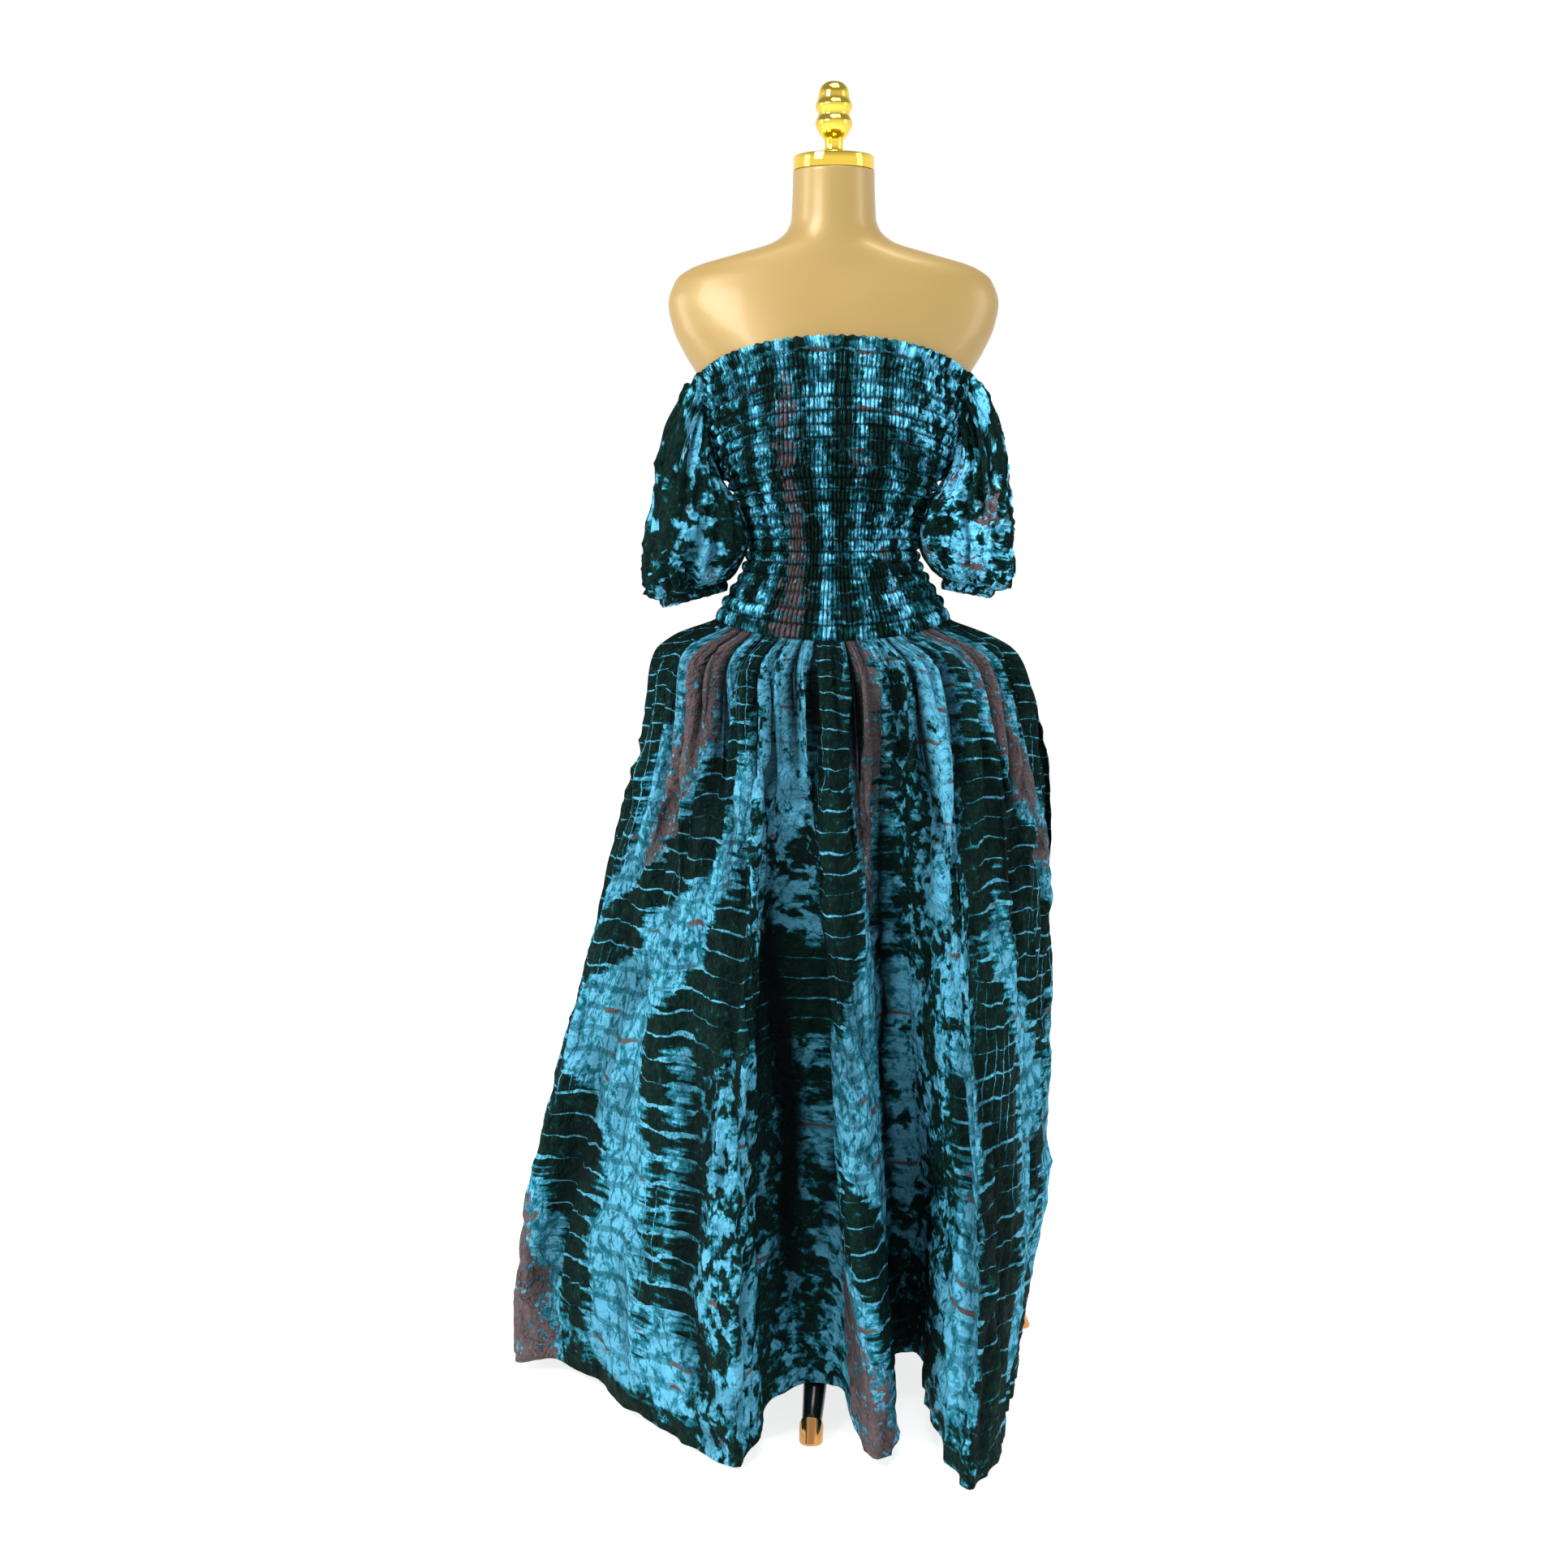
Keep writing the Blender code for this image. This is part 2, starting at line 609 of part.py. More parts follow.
def build_leg(number, azimuth, black, gold, holder):
    """A round tapered leg that swings out and down from the hub, and its flared foot."""
    out = Vector((cos(azimuth), sin(azimuth), 0))
    side = Vector((-sin(azimuth), cos(azimuth), 0))
    up = Vector((0, 0, 1))

    def ring(step, slope):
        across = up * cos(slope) - out * sin(slope)
        return circle(out * step.reach + up * step.z, side, across, step.radius, LEG_SIDES)

    slopes = []
    for before, after in zip((LEG[0], *LEG), (*LEG[1:], LEG[-1])):
        slopes.append(atan2(after.z - before.z, after.reach - before.reach))
    slopes[0] = 0.0
    bm = bmesh.new()
    loft(bm, [ring(step, slope) for step, slope in zip(LEG, slopes)])
    place(f"leg_{number}", bm, black, holder)
    bm = bmesh.new()
    foot_rings = [ring(step, slopes[-1]) for step in FOOT]
    for row in SOLE:
        foot_rings.append(circle(out * SOLE_REACH + up * row.height, side, out, row.radius, LEG_SIDES))
    loft(bm, foot_rings)
    place(f"foot_{number}", bm, gold, holder)


def build_stand(black, gold, polished, holder):
    """The cap and finial on the neck, and the pole, hub, legs and feet below the form."""
    cap_low = FORM_TOP_Z + SEAM_GAP
    cap_high = cap_low + CAP_HEIGHT
    cap = (
        Turn(CAP_RADIUS - CAP_EDGE, cap_low),
        Turn(CAP_RADIUS, cap_low + CAP_EDGE),
        Turn(CAP_RADIUS, cap_high - CAP_EDGE),
        Turn(CAP_RADIUS - CAP_EDGE, cap_high),
    )
    turned("neck_cap", cap, CAP_SIDES, polished, holder)
    finial = [Turn(row.radius, cap_high + row.height) for row in FINIAL]
    turned("finial", finial, FINIAL_SIDES, polished, holder)
    pole = (
        Turn(POLE_RADIUS, HUB[-1].height + SEAM_GAP),
        Turn(POLE_RADIUS, FORM_BOTTOM_Z - SEAM_GAP),
    )
    turned("stand_pole", pole, POLE_SIDES, black, holder)
    turned("stand_hub", HUB, HUB_SIDES, black, holder, LEG_AZIMUTHS[0] + pi / HUB_SIDES)
    for number, azimuth in enumerate(LEG_AZIMUTHS, 1):
        build_leg(number, azimuth, black, gold, holder)


def centre_on_box(holder):
    """Moves the holder so that the middle of the whole box, seen from above, is at the origin."""
    points = [v.co for o in holder.children for v in o.data.vertices]
    for axis in (0, 1):
        low = min(p[axis] for p in points)
        high = max(p[axis] for p in points)
        holder.location[axis] = -(low + high) / 2


def main():
    for old in list(bpy.data.objects):
        bpy.data.objects.remove(old)
    holder = bpy.data.objects.new("dress_and_form", None)
    bpy.context.scene.collection.objects.link(holder)
    cotton = material("dyed_cotton", (0.012, 0.11, 0.15), 0.8)
    champagne = material("champagne_paint", (0.42, 0.27, 0.08), 0.4, 0.3)
    polished = material("polished_gold", (0.9, 0.62, 0.12), 0.12, 1.0)
    copper = material("copper_ferrule", (0.5, 0.25, 0.07), 0.25, 1.0)
    black = material("gloss_black", (0.01, 0.01, 0.01), 0.15)
    build_bodice_panel("bodice_front", pi, cotton, holder)
    build_bodice_panel("bodice_back", 0.0, cotton, holder)
    build_sleeve("sleeve_left", LEFT_SLEEVE, -1, cotton, holder)
    build_sleeve("sleeve_right", RIGHT_SLEEVE, 1, cotton, holder)
    grids = skirt_grids()
    build_skirt_panel("skirt_front", grids, 0, FRONT_COLUMNS, cotton, holder)
    build_skirt_panel("skirt_back", grids, FRONT_COLUMNS, FRONT_COLUMNS + BACK_COLUMNS, cotton, holder)
    build_form(champagne, holder)
    build_stand(black, copper, polished, holder)
    centre_on_box(holder)


main()
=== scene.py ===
import math
import random
from bisect import bisect_right

import bmesh
import bpy
from mathutils import Matrix, Vector, noise


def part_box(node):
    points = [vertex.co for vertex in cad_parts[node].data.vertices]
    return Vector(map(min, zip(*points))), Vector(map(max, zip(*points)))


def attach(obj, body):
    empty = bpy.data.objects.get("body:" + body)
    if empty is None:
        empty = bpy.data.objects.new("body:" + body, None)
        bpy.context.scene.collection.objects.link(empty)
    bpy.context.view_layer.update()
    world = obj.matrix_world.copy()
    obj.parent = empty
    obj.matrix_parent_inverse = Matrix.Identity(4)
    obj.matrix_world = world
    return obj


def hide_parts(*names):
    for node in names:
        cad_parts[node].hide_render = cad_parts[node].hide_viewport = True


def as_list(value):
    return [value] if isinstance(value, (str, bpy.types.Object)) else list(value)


# A tie-dyed maxi dress on a gold dress form. Metres, +Z up, the dress looks towards -Y.
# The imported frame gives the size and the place; every piece below stands for one of its nodes.

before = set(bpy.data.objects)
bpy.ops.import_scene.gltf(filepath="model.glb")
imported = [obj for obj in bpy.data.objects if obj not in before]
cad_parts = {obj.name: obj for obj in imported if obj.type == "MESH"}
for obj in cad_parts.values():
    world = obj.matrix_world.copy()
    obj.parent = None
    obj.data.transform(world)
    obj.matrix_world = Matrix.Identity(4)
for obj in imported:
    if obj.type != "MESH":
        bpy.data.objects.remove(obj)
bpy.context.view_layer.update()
finialLow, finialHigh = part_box("finial")
standAxis = Vector(((finialLow.x + finialHigh.x) / 2, (finialLow.y + finialHigh.y) / 2, 0))
print("frame loaded, stand axis at", [round(v, 4) for v in standAxis])


# Small helpers

def smoothRows(rows, keyColumn, valueColumn):
    # a smooth curve through one column of a table, level at every peak
    keys = [row[keyColumn] for row in rows]
    values = [row[valueColumn] for row in rows]
    slopes = [0.0] * len(keys)
    for k in range(1, len(keys) - 1):
        before = (values[k] - values[k - 1]) / (keys[k] - keys[k - 1])
        after = (values[k + 1] - values[k]) / (keys[k + 1] - keys[k])
        if before * after > 0:
            slopes[k] = 2 * before * after / (before + after)

    def read(key):
        if key <= keys[0]:
            return values[0]
        if key >= keys[-1]:
            return values[-1]
        i = bisect_right(keys, key) - 1
        span = keys[i + 1] - keys[i]
        t = (key - keys[i]) / span
        first, last = (1 + 2 * t) * (1 - t) ** 2, t * t * (3 - 2 * t)
        bend = slopes[i] * span * t * (1 - t) ** 2 + slopes[i + 1] * span * t * t * (t - 1)
        return values[i] * first + values[i + 1] * last + bend

    return read


def ease(value, low, high):
    # 0 below low, 1 above high, smooth between
    t = min(1.0, max(0.0, (value - low) / (high - low)))
    return t * t * (3 - 2 * t)


def bump(value, centre, width):
    return math.exp(-((value - centre) / width) ** 2)


def heading(angle):
    return Vector((math.cos(angle), math.sin(angle)))


def noiseAt(x, y, z):
    return noise.noise(Vector((x, y, z)))


def creaseNoise(x, y, z):
    # sharp ridges of height 1 along the lines where the noise is zero
    return 1 - 2 * abs(noiseAt(x, y, z))


# The general figure that the form and the bodice share

figure = {
    # height, half width, depth to the front, depth to the back
    "rows": [
        (0.775, 0.148, 0.104, 0.110), (0.790, 0.157, 0.111, 0.119), (0.830, 0.162, 0.115, 0.127),
        (0.870, 0.163, 0.116, 0.128), (0.915, 0.159, 0.113, 0.123), (0.940, 0.151, 0.110, 0.117),
        (0.960, 0.1405, 0.106, 0.109), (0.980, 0.1275, 0.100, 0.100), (1.000, 0.1145, 0.093, 0.091),
        (1.020, 0.1045, 0.087, 0.083), (1.045, 0.0990, 0.083, 0.078), (1.065, 0.1005, 0.083, 0.077),
        (1.085, 0.1060, 0.084, 0.078), (1.110, 0.1160, 0.087, 0.081), (1.140, 0.1300, 0.092, 0.085),
        (1.170, 0.1420, 0.096, 0.089), (1.210, 0.1535, 0.097, 0.093), (1.250, 0.1650, 0.094, 0.095),
        (1.284, 0.1845, 0.088, 0.093), (1.314, 0.1980, 0.081, 0.088), (1.343, 0.2035, 0.073, 0.080),
        (1.372, 0.1940, 0.064, 0.071), (1.387, 0.1735, 0.060, 0.066), (1.402, 0.1240, 0.057, 0.061),
        (1.417, 0.0745, 0.054, 0.056), (1.431, 0.0575, 0.0525, 0.0535), (1.446, 0.0520, 0.0515, 0.0515),
        (1.503, 0.0500, 0.0500, 0.0500),
    ],
    "bustHeight": 0.020, "bustSpacing": 0.072, "bustZ": 1.180, "bustSpread": 0.056,
}
figureSide = smoothRows(figure["rows"], 0, 1)
figureFront = smoothRows(figure["rows"], 0, 2)
figureBack = smoothRows(figure["rows"], 0, 3)


def figurePoint(angle, z, out):
    # a point of the figure, moved out by the given distance, in the stand's own axes
    x = (figureSide(z) + out) * math.cos(angle)
    depth = figureFront(z) if math.sin(angle) < 0 else figureBack(z)
    y = (depth + out) * math.sin(angle)
    if math.sin(angle) < 0:
        rise = ((z - figure["bustZ"]) / figure["bustSpread"]) ** 2
        near = ((abs(x) - figure["bustSpacing"]) / figure["bustSpread"]) ** 2
        y -= figure["bustHeight"] * (-math.sin(angle)) ** 0.5 * math.exp(-rise - near)
    return Vector((x, y, z))


cloth = {
    "wall": 0.0015, "seamGap": 0.0003, "formClearance": 0.0016, "shell": 0.0011, "weld": 0.00005,
    "neckSide": 1.249, "neckMiddle": 1.298, "neckBend": 1.6, "waistSide": 0.956, "waistMiddle": 0.934,
}


def necklineZ(angle):
    rise = cloth["neckMiddle"] - cloth["neckSide"]
    return cloth["neckSide"] + rise * abs(math.sin(angle)) ** cloth["neckBend"]


def waistSeamZ(angle):
    return cloth["waistSide"] + (cloth["waistMiddle"] - cloth["waistSide"]) * math.sin(angle) ** 2


# Shader helpers: a wire is one socket, and Python's arithmetic on it adds the nodes

class Wire:
    def __init__(self, paint, socket):
        self.paint = paint
        self.socket = socket

    def maths(self, operation, *values):
        sockets = dict(enumerate(values))
        return self.paint.node("ShaderNodeMath", {"operation": operation}, sockets)

    def __add__(self, other):
        return self.maths("ADD", self, other)

    def __radd__(self, other):
        return self.maths("ADD", other, self)

    def __sub__(self, other):
        return self.maths("SUBTRACT", self, other)

    def __rsub__(self, other):
        return self.maths("SUBTRACT", other, self)

    def __mul__(self, other):
        return self.maths("MULTIPLY", self, other)

    def __rmul__(self, other):
        return self.maths("MULTIPLY", other, self)

    def __truediv__(self, other):
        return self.maths("DIVIDE", self, other)

    def top(self, other):
        return self.maths("MAXIMUM", self, other)

    def low(self, other):
        return self.maths("MINIMUM", self, other)

    def size(self):
        return self.maths("ABSOLUTE", self)

    def fraction(self):
        return self.maths("FRACT", self)

    def step(self, start, end):
        # smooth 0 to 1 while the value runs from start to end
        sockets = {"Value": self, "From Min": start, "From Max": end, "To Min": 0.0, "To Max": 1.0}
        return self.paint.node("ShaderNodeMapRange", {"interpolation_type": "SMOOTHSTEP"}, sockets)


class Paint:
    # the nodes of one finish
    def __init__(self, name, **fixed):
        self.material = bpy.data.materials.new(name)
        self.material.use_nodes = True
        self.tree = self.material.node_tree
        self.shader = self.tree.nodes["Principled BSDF"]
        for key, value in fixed.items():
            self.shader.inputs[key.replace("_", " ")].default_value = value

    def node(self, kind, settings=None, sockets=None, output=0):
        made = self.tree.nodes.new(kind)
        for key, value in (settings or {}).items():
            if key == "stops":
                while len(made.color_ramp.elements) < len(value):
                    made.color_ramp.elements.new(1.0)
                for element, (place, colour) in zip(made.color_ramp.elements, value):
                    element.position = place
                    element.color = (*colour, 1.0)
            else:
                setattr(made, key, value)
        for key, value in (sockets or {}).items():
            if isinstance(value, Wire):
                self.tree.links.new(value.socket, made.inputs[key])
            else:
                made.inputs[key].default_value = value
        return Wire(self, made.outputs[output])

    def feed(self, name, wire):
        self.tree.links.new(wire.socket, self.shader.inputs[name])

    def stretch(self, vector, scale, shift=(0, 0, 0)):
        sockets = {"Vector": vector, "Scale": scale, "Location": shift}
        return self.node("ShaderNodeMapping", None, sockets)

    def cloud(self, vector, scale, detail=2.0, roughness=0.5, twist=0.0):
        # noise about zero, roughly from -0.5 to 0.5
        sockets = {"Vector": vector, "Scale": scale, "Detail": detail,
                   "Roughness": roughness, "Distortion": twist}
        return self.node("ShaderNodeTexNoise", None, sockets) - 0.5

    def streaky(self, vector, scales, detail=2.0, shift=(0, 0, 0), twist=0.0):
        # noise drawn out across or along the cloth
        return self.cloud(self.stretch(vector, (*scales, 1), shift), 1.0, detail, twist=twist)

    def blend(self, amount, first, second):
        # colours through one Mix node
        return self.node("ShaderNodeMix", {"data_type": "RGBA"}, {0: amount, 6: first, 7: second}, 2)

    def between(self, amount, first, second):
        return self.node("ShaderNodeMix", {"data_type": "FLOAT"}, {0: amount, 2: first, 3: second})


dye = {
    "inkGreen": (0.0020, 0.0115, 0.0100), "bottleGreen": (0.0048, 0.0240, 0.0180),
    "deepTeal": (0.0040, 0.1000, 0.1350), "seaBlue": (0.0280, 0.2200, 0.3100),
    "skyBlue": (0.1080, 0.4050, 0.5900), "rampPlaces": (0.05, 0.25, 0.33, 0.50, 0.62),
    "mauve": (0.1500, 0.1110, 0.1160), "darkMauve": (0.082, 0.064, 0.068),
    "rust": (0.1250, 0.0880, 0.0850), "creaseShade": (0.0008, 0.0030, 0.0036),
    # how far each noise moves the edge of a light band
    "teeth": 0.085, "combs": 0.078, "drift": 0.060, "grain": 0.012,
    # what makes up the blotchy parts
    "cellMiddle": 0.40, "cells": 0.056, "blots": 0.17, "shards": 0.19, "blotTeeth": 0.020, "bandHold": 0.26,
    # cracks: how they wander, how their width changes, and the upright ones that cross them
    "crackWander": 0.030, "crackChange": 0.0052, "crackFray": 0.0026,
    "brickWidth": 0.021, "brickWander": 0.012, "rustWidth": 0.0030,
    # from the distance inside a band to a place on the ramp of colours
    "edgeSlope": 22.0, "edgeDepth": 0.31, "crackDepth": 0.76, "darkest": 0.12, "lightest": 0.67,
    "mottle": 1.00, "fleck": 0.50, "web": 0.20,
    # the torn edge of the mauve hearts, and creases too fine for the mesh: their painted shade and their bump
    "heartReach": 0.020, "heartTeeth": 0.040, "heartMottle": 0.150, "heartBlots": 0.050, "heartLevel": 0.002,
    "fineCreaseShade": 0.60, "creaseLift": 0.020,
}


def dyedCotton(name, seed, crackSpacing, teethSize, crackWidth, blotchLevel, paintedLightGain):
    # Three attributes of the cloth guide the dye: how far a point lies inside a light band and inside a
    # mauve streak, and how blotchy the dye is there; a fourth is painted shade for folds and hollows. Noise does
    # the rest.
    paint = Paint(name, Roughness=0.85, Specular_IOR_Level=0.06)
    flat = paint.node("ShaderNodeUVMap", {"uv_map": "clothMetres"})
    flat = paint.stretch(flat, (1, 1, 1), (seed, seed * 0.37, 0))
    band, streak, burst, groove = (paint.node("ShaderNodeAttribute", {"attribute_name": key}, output=2)
                                   for key in ("band", "streak", "burst", "groove"))

    # ragged edges: long teeth across the band, broad drift, fine grain
    teeth = paint.streaky(flat, (9, 150))
    combs = paint.streaky(flat, (11, 46), twist=0.4)
    drift = paint.cloud(flat, 9.0)
    grain = paint.cloud(flat, 330.0, 2.0, 0.6)
    ragged = teeth * (dye["teeth"] * teethSize) + combs * (dye["combs"] * teethSize) + drift * dye["drift"]

    # blotches and small star bursts where the cloth was crumpled before dyeing
    swirl = paint.node("ShaderNodeTexNoise", None, {"Vector": flat, "Scale": 90.0, "Detail": 2.0}, 1)
    warped = paint.node("ShaderNodeVectorMath", {"operation": "MULTIPLY_ADD"},
                        {0: swirl, 1: (0.016, 0.016, 0), 2: flat})
    cells = paint.node("ShaderNodeTexVoronoi", None, {"Vector": warped, "Scale": 15.0, "Randomness": 0.9})
    blots = paint.cloud(warped, 20.0, 3.0, 0.62, 0.5)
    shards = paint.cloud(warped, 58.0, 2.0, 0.6)
    blotchy = ((dye["cellMiddle"] - cells) * dye["cells"] + blots * dye["blots"] + shards * dye["shards"]
               + teeth * dye["blotTeeth"] + band.top(-0.10) * dye["bandHold"] + blotchLevel)
    inside = paint.between(burst, band + ragged, blotchy) + grain * dye["grain"]

    # cracks of the resist: thin light lines across the dark bands, every few centimetres
    across = paint.node("ShaderNodeSeparateXYZ", None, {0: flat}, 0)
    upDown = paint.node("ShaderNodeSeparateXYZ", None, {0: flat}, 1)
    row = (upDown + paint.streaky(flat, (14, 5)) * dye["crackWander"]) / crackSpacing
    keep = paint.streaky(flat, (16, 34), 1.0)
    fray = inside.step(-0.026, 0.003) * dye["crackFray"]
    thick = (crackWidth + keep * dye["crackChange"] + fray).top(0.0)
    offLine = (row.fraction() - 0.5).size() * crackSpacing
    crack = 1.0 - (offLine - thick).step(-0.0004, 0.0008)
    side = (across + combs * dye["brickWander"]) / dye["brickWidth"]
    brick = 1.0 - ((side.fraction() - 0.5).size() * dye["brickWidth"]).step(0.0004, 0.0014)
    brick = brick * paint.streaky(flat, (5, 3), 1.0, (3, 5, 0)).step(0.03, 0.12)
    lines = crack.top(brick) * (1.0 - burst * 0.75) * (0.78 + grain * 0.6)

    # from the distance inside a band to a colour
    mottle = paint.cloud(flat, 75.0, 4.0, 0.7, 0.3)
    fleck = paint.cloud(flat, 210.0, 3.0, 0.7)
    lightPart = inside.step(0.003, 0.016) * (1.0 - burst * 0.6)
    web = paint.node("ShaderNodeTexVoronoi", {"feature": "DISTANCE_TO_EDGE"}, {
        "Vector": paint.stretch(warped, (58, 30, 1)), "Scale": 1.0}).step(0.02, 0.17)
    depth = (inside * dye["edgeSlope"] + dye["edgeDepth"]).top(lines * dye["crackDepth"])
    depth = depth.top(dye["darkest"]).low(dye["lightest"]) + mottle * dye["mottle"] + fleck * dye["fleck"]
    depth = depth - (1.0 - web) * lightPart * dye["web"]
    # painted light: the sky blue is brightened per piece, most on the bodice and the right sleeve, to stand in
    # for the stronger light on them
    sky = tuple(value * paintedLightGain for value in dye["skyBlue"])
    stops = zip(dye["rampPlaces"], (dye["inkGreen"], dye["bottleGreen"], dye["deepTeal"], dye["seaBlue"], sky))
    colour = paint.node("ShaderNodeValToRGB", {"stops": list(stops)}, {0: depth})

    # dark lines in the light bands, mauve hearts, rust on some cracks
    colour = paint.blend(crack * lightPart * 0.6, colour, (*dye["deepTeal"], 1))
    rusty = paint.streaky(flat, (12, 30), 2.0, (7, 1, 0)).step(0.07, 0.17)
    dash = 1.0 - (offLine - rusty * dye["rustWidth"]).step(-0.0006, 0.0006)
    colour = paint.blend(rusty.step(0.05, 0.2) * dash * inside.step(0.0, 0.012), colour, (*dye["rust"], 1))
    heart = streak.low(dye["heartReach"]) + teeth * dye["heartTeeth"] + combs * dye["heartTeeth"]
    heart = heart + mottle * dye["heartMottle"] + blots * dye["heartBlots"] - dye["heartLevel"]
    mauve = paint.blend((fleck + mottle).step(-0.25, 0.30), (*dye["darkMauve"], 1), (*dye["mauve"], 1))
    colour = paint.blend(heart.step(-0.0025, 0.0045), colour, mauve)

    # painted shade darkens sunken creases and fine crease lines where shade falls, and crumples too fine for the
    # mesh are raised
    long, short = paint.cloud(flat, 26.0, 3.0, 0.55, 0.6).size(), paint.cloud(flat, 60.0, 2.0, 0.5, 0.8).size()
    paintedCreaseShade = (1.0 - long.step(0.0, 0.022)) * paint.cloud(flat, 13.0, 1.0).step(-0.08, 0.08) * dye["fineCreaseShade"]
    paint.feed("Base Color", paint.blend(groove.top(paintedCreaseShade), colour, (*dye["creaseShade"], 1)))
    paint.feed("Normal", paint.node("ShaderNodeBump", {"invert": True}, {
        "Strength": 1.0, "Distance": dye["creaseLift"], "Height": long + short * 0.5 + fleck * 0.02}))
    return paint.material


def plainFinish(name, colour, roughness, metallic=0.0, coat=0.0, cloudy=0.0, scale=30.0):
    # one even colour, with a little unevenness in how it shines
    paint = Paint(name, Roughness=roughness, Metallic=metallic, Coat_Weight=coat, Coat_Roughness=0.12)
    paint.shader.inputs["Base Color"].default_value = (*colour, 1.0)
    if cloudy:
        place = paint.node("ShaderNodeTexCoord", output=3)
        paint.feed("Roughness", paint.cloud(place, scale, 3.0) * cloudy + roughness)
    return paint.material


finishes = {
    # seed of the noise, spacing of the cracks, size of the teeth, width of the cracks, blotchiness, painted light
    # gain
    "skirtFront": dyedCotton("dyedCottonFront", 0.0, 0.027, 1.0, 0.0008, 0.020, 1.12),
    "skirtBack": dyedCotton("dyedCottonBack", 3.1, 0.027, 1.0, 0.0008, 0.010, 1.12),
    "bodice": dyedCotton("dyedCottonBodice", 7.3, 0.036, 0.35, -0.0003, 0.012, 2.1),
    "sleeveRight": dyedCotton("dyedCottonRightSleeve", 5.7, 0.030, 0.8, -0.0008, 0.010, 1.85),
    "sleeveLeft": dyedCotton("dyedCottonLeftSleeve", 5.7, 0.030, 0.8, -0.0008, 0.010, 1.2),
    # colour, roughness, metal, clear coat, unevenness of the shine, its scale
    "form": plainFinish("champagnePaint", (0.380, 0.252, 0.080), 0.40, 0.15, 0.22, 0.10, 18.0),
    "gold": plainFinish("polishedGold", (0.93, 0.66, 0.09), 0.07, 1.0, 0.0, 0.03, 60.0),
    "black": plainFinish("glossBlack", (0.004, 0.004, 0.005), 0.22, 0.0, 0.1, 0.05, 40.0),
    "copper": plainFinish("copperFerrule", (0.62, 0.30, 0.10), 0.16, 1.0, 0.0, 0.05, 60.0),
}
print("finishes mixed:", len(finishes))


# Turning a bmesh into a piece of the dress

def finishPiece(name, bm, material, node, slot, sharpAngle=None):
    bm.transform(Matrix.Translation(standAxis))
    mesh = bpy.data.meshes.new(name)
    bm.to_mesh(mesh)
    bm.free()
    mesh.materials.append(material)
    mesh.shade_smooth()
    piece = bpy.data.objects.new(name, mesh)
    bpy.context.scene.collection.objects.link(piece)
    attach(piece, "root")
    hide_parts(node)
    if sharpAngle:
        mesh.set_sharp_from_angle(angle=math.radians(sharpAngle))
    return piece


def gridShares(point):
    # the grid runs from -1 to 1; the shares across and down a piece run from 0 to 1
    return (point.x + 1) / 2, (1 - point.y) / 2


def clothPiece(name, settings, place, dyeAt, crumple, material, node):
    # a flat grid of cloth is laid on the shape that place gives, then crumpled along its own normals
    bm = bmesh.new()
    bmesh.ops.create_grid(bm, x_segments=settings["columns"], y_segments=settings["rows"], size=1.0)
    flatMap = bm.loops.layers.uv.new("clothMetres")
    marks = [bm.verts.layers.float.new(key) for key in ("band", "streak", "burst")]
    # painted shade: how much each point's base colour is darkened in folds and hollows, where shade falls
    paintedShadeMark = bm.verts.layers.float.new("groove")
    width, length = settings["cut"]
    laid = []
    spread = settings.get("spread", lambda across, down, middle: across)
    for face in bm.faces:
        middle = gridShares(face.calc_center_median())
        for loop in face.loops:
            across, down = gridShares(loop.vert.co)
            loop[flatMap].uv = (spread(across, down, middle) * width, -down * length)
    for vert in bm.verts:
        across, down = gridShares(vert.co)
        for mark, value in zip(marks, dyeAt(across, down)):
            vert[mark] = value
        vert.co = place(across, down)
        laid.append((vert, across, down))
    if settings.get("mirrored"):
        bmesh.ops.reverse_faces(bm, faces=bm.faces)
    bm.normal_update()
    moves = []
    for vert, across, down in laid:
        rise, shade = crumple(across, down)
        moves.append((vert, vert.normal * rise))
        vert[paintedShadeMark] = min(1.0, max(0.0, shade))
    for vert, move in moves:
        vert.co += move
    if settings.get("closed"):
        bmesh.ops.remove_doubles(bm, verts=bm.verts, dist=cloth["weld"])
    piece = finishPiece(name, bm, material, node, "dyed_cotton")
    wall = piece.modifiers.new("wall", "SOLIDIFY")
    wall.thickness = cloth["shell"]
    wall.offset = -1.0
    return piece


dyeColumns = 60  # the dye tables count sixtieths across a panel


def bandMark(bands, unit, column, level):
    # distance inside the nearest light band; each band is a line of (level, centre, half width)
    best = -3.0
    for rows in bands:
        if rows[0][0] <= level <= rows[-1][0]:
            i = max(k for k in range(len(rows) - 1) if rows[k][0] <= level)
            (l0, c0, h0), (l1, c1, h1) = rows[i], rows[i + 1]
            t = ease(level, l0, l1)
            best = max(best, h0 + (h1 - h0) * t - abs(column - c0 - (c1 - c0) * t))
    return best * unit


def patchMark(patches, column, level, outside, within):
    # how blotchy a point is; each patch is (left, right, top, bottom, how blotchy), with soft edges
    best = 0.0
    for left, right, top, bottom, amount in patches:
        sideways = ease(column, left - outside, left + within)
        sideways *= 1 - ease(column, right - within, right + outside)
        upright = ease(level, top - 0.05, top + 0.05) * (1 - ease(level, bottom - 0.05, bottom + 0.05))
        best = max(best, amount * sideways * upright)
    return best


# Skirt

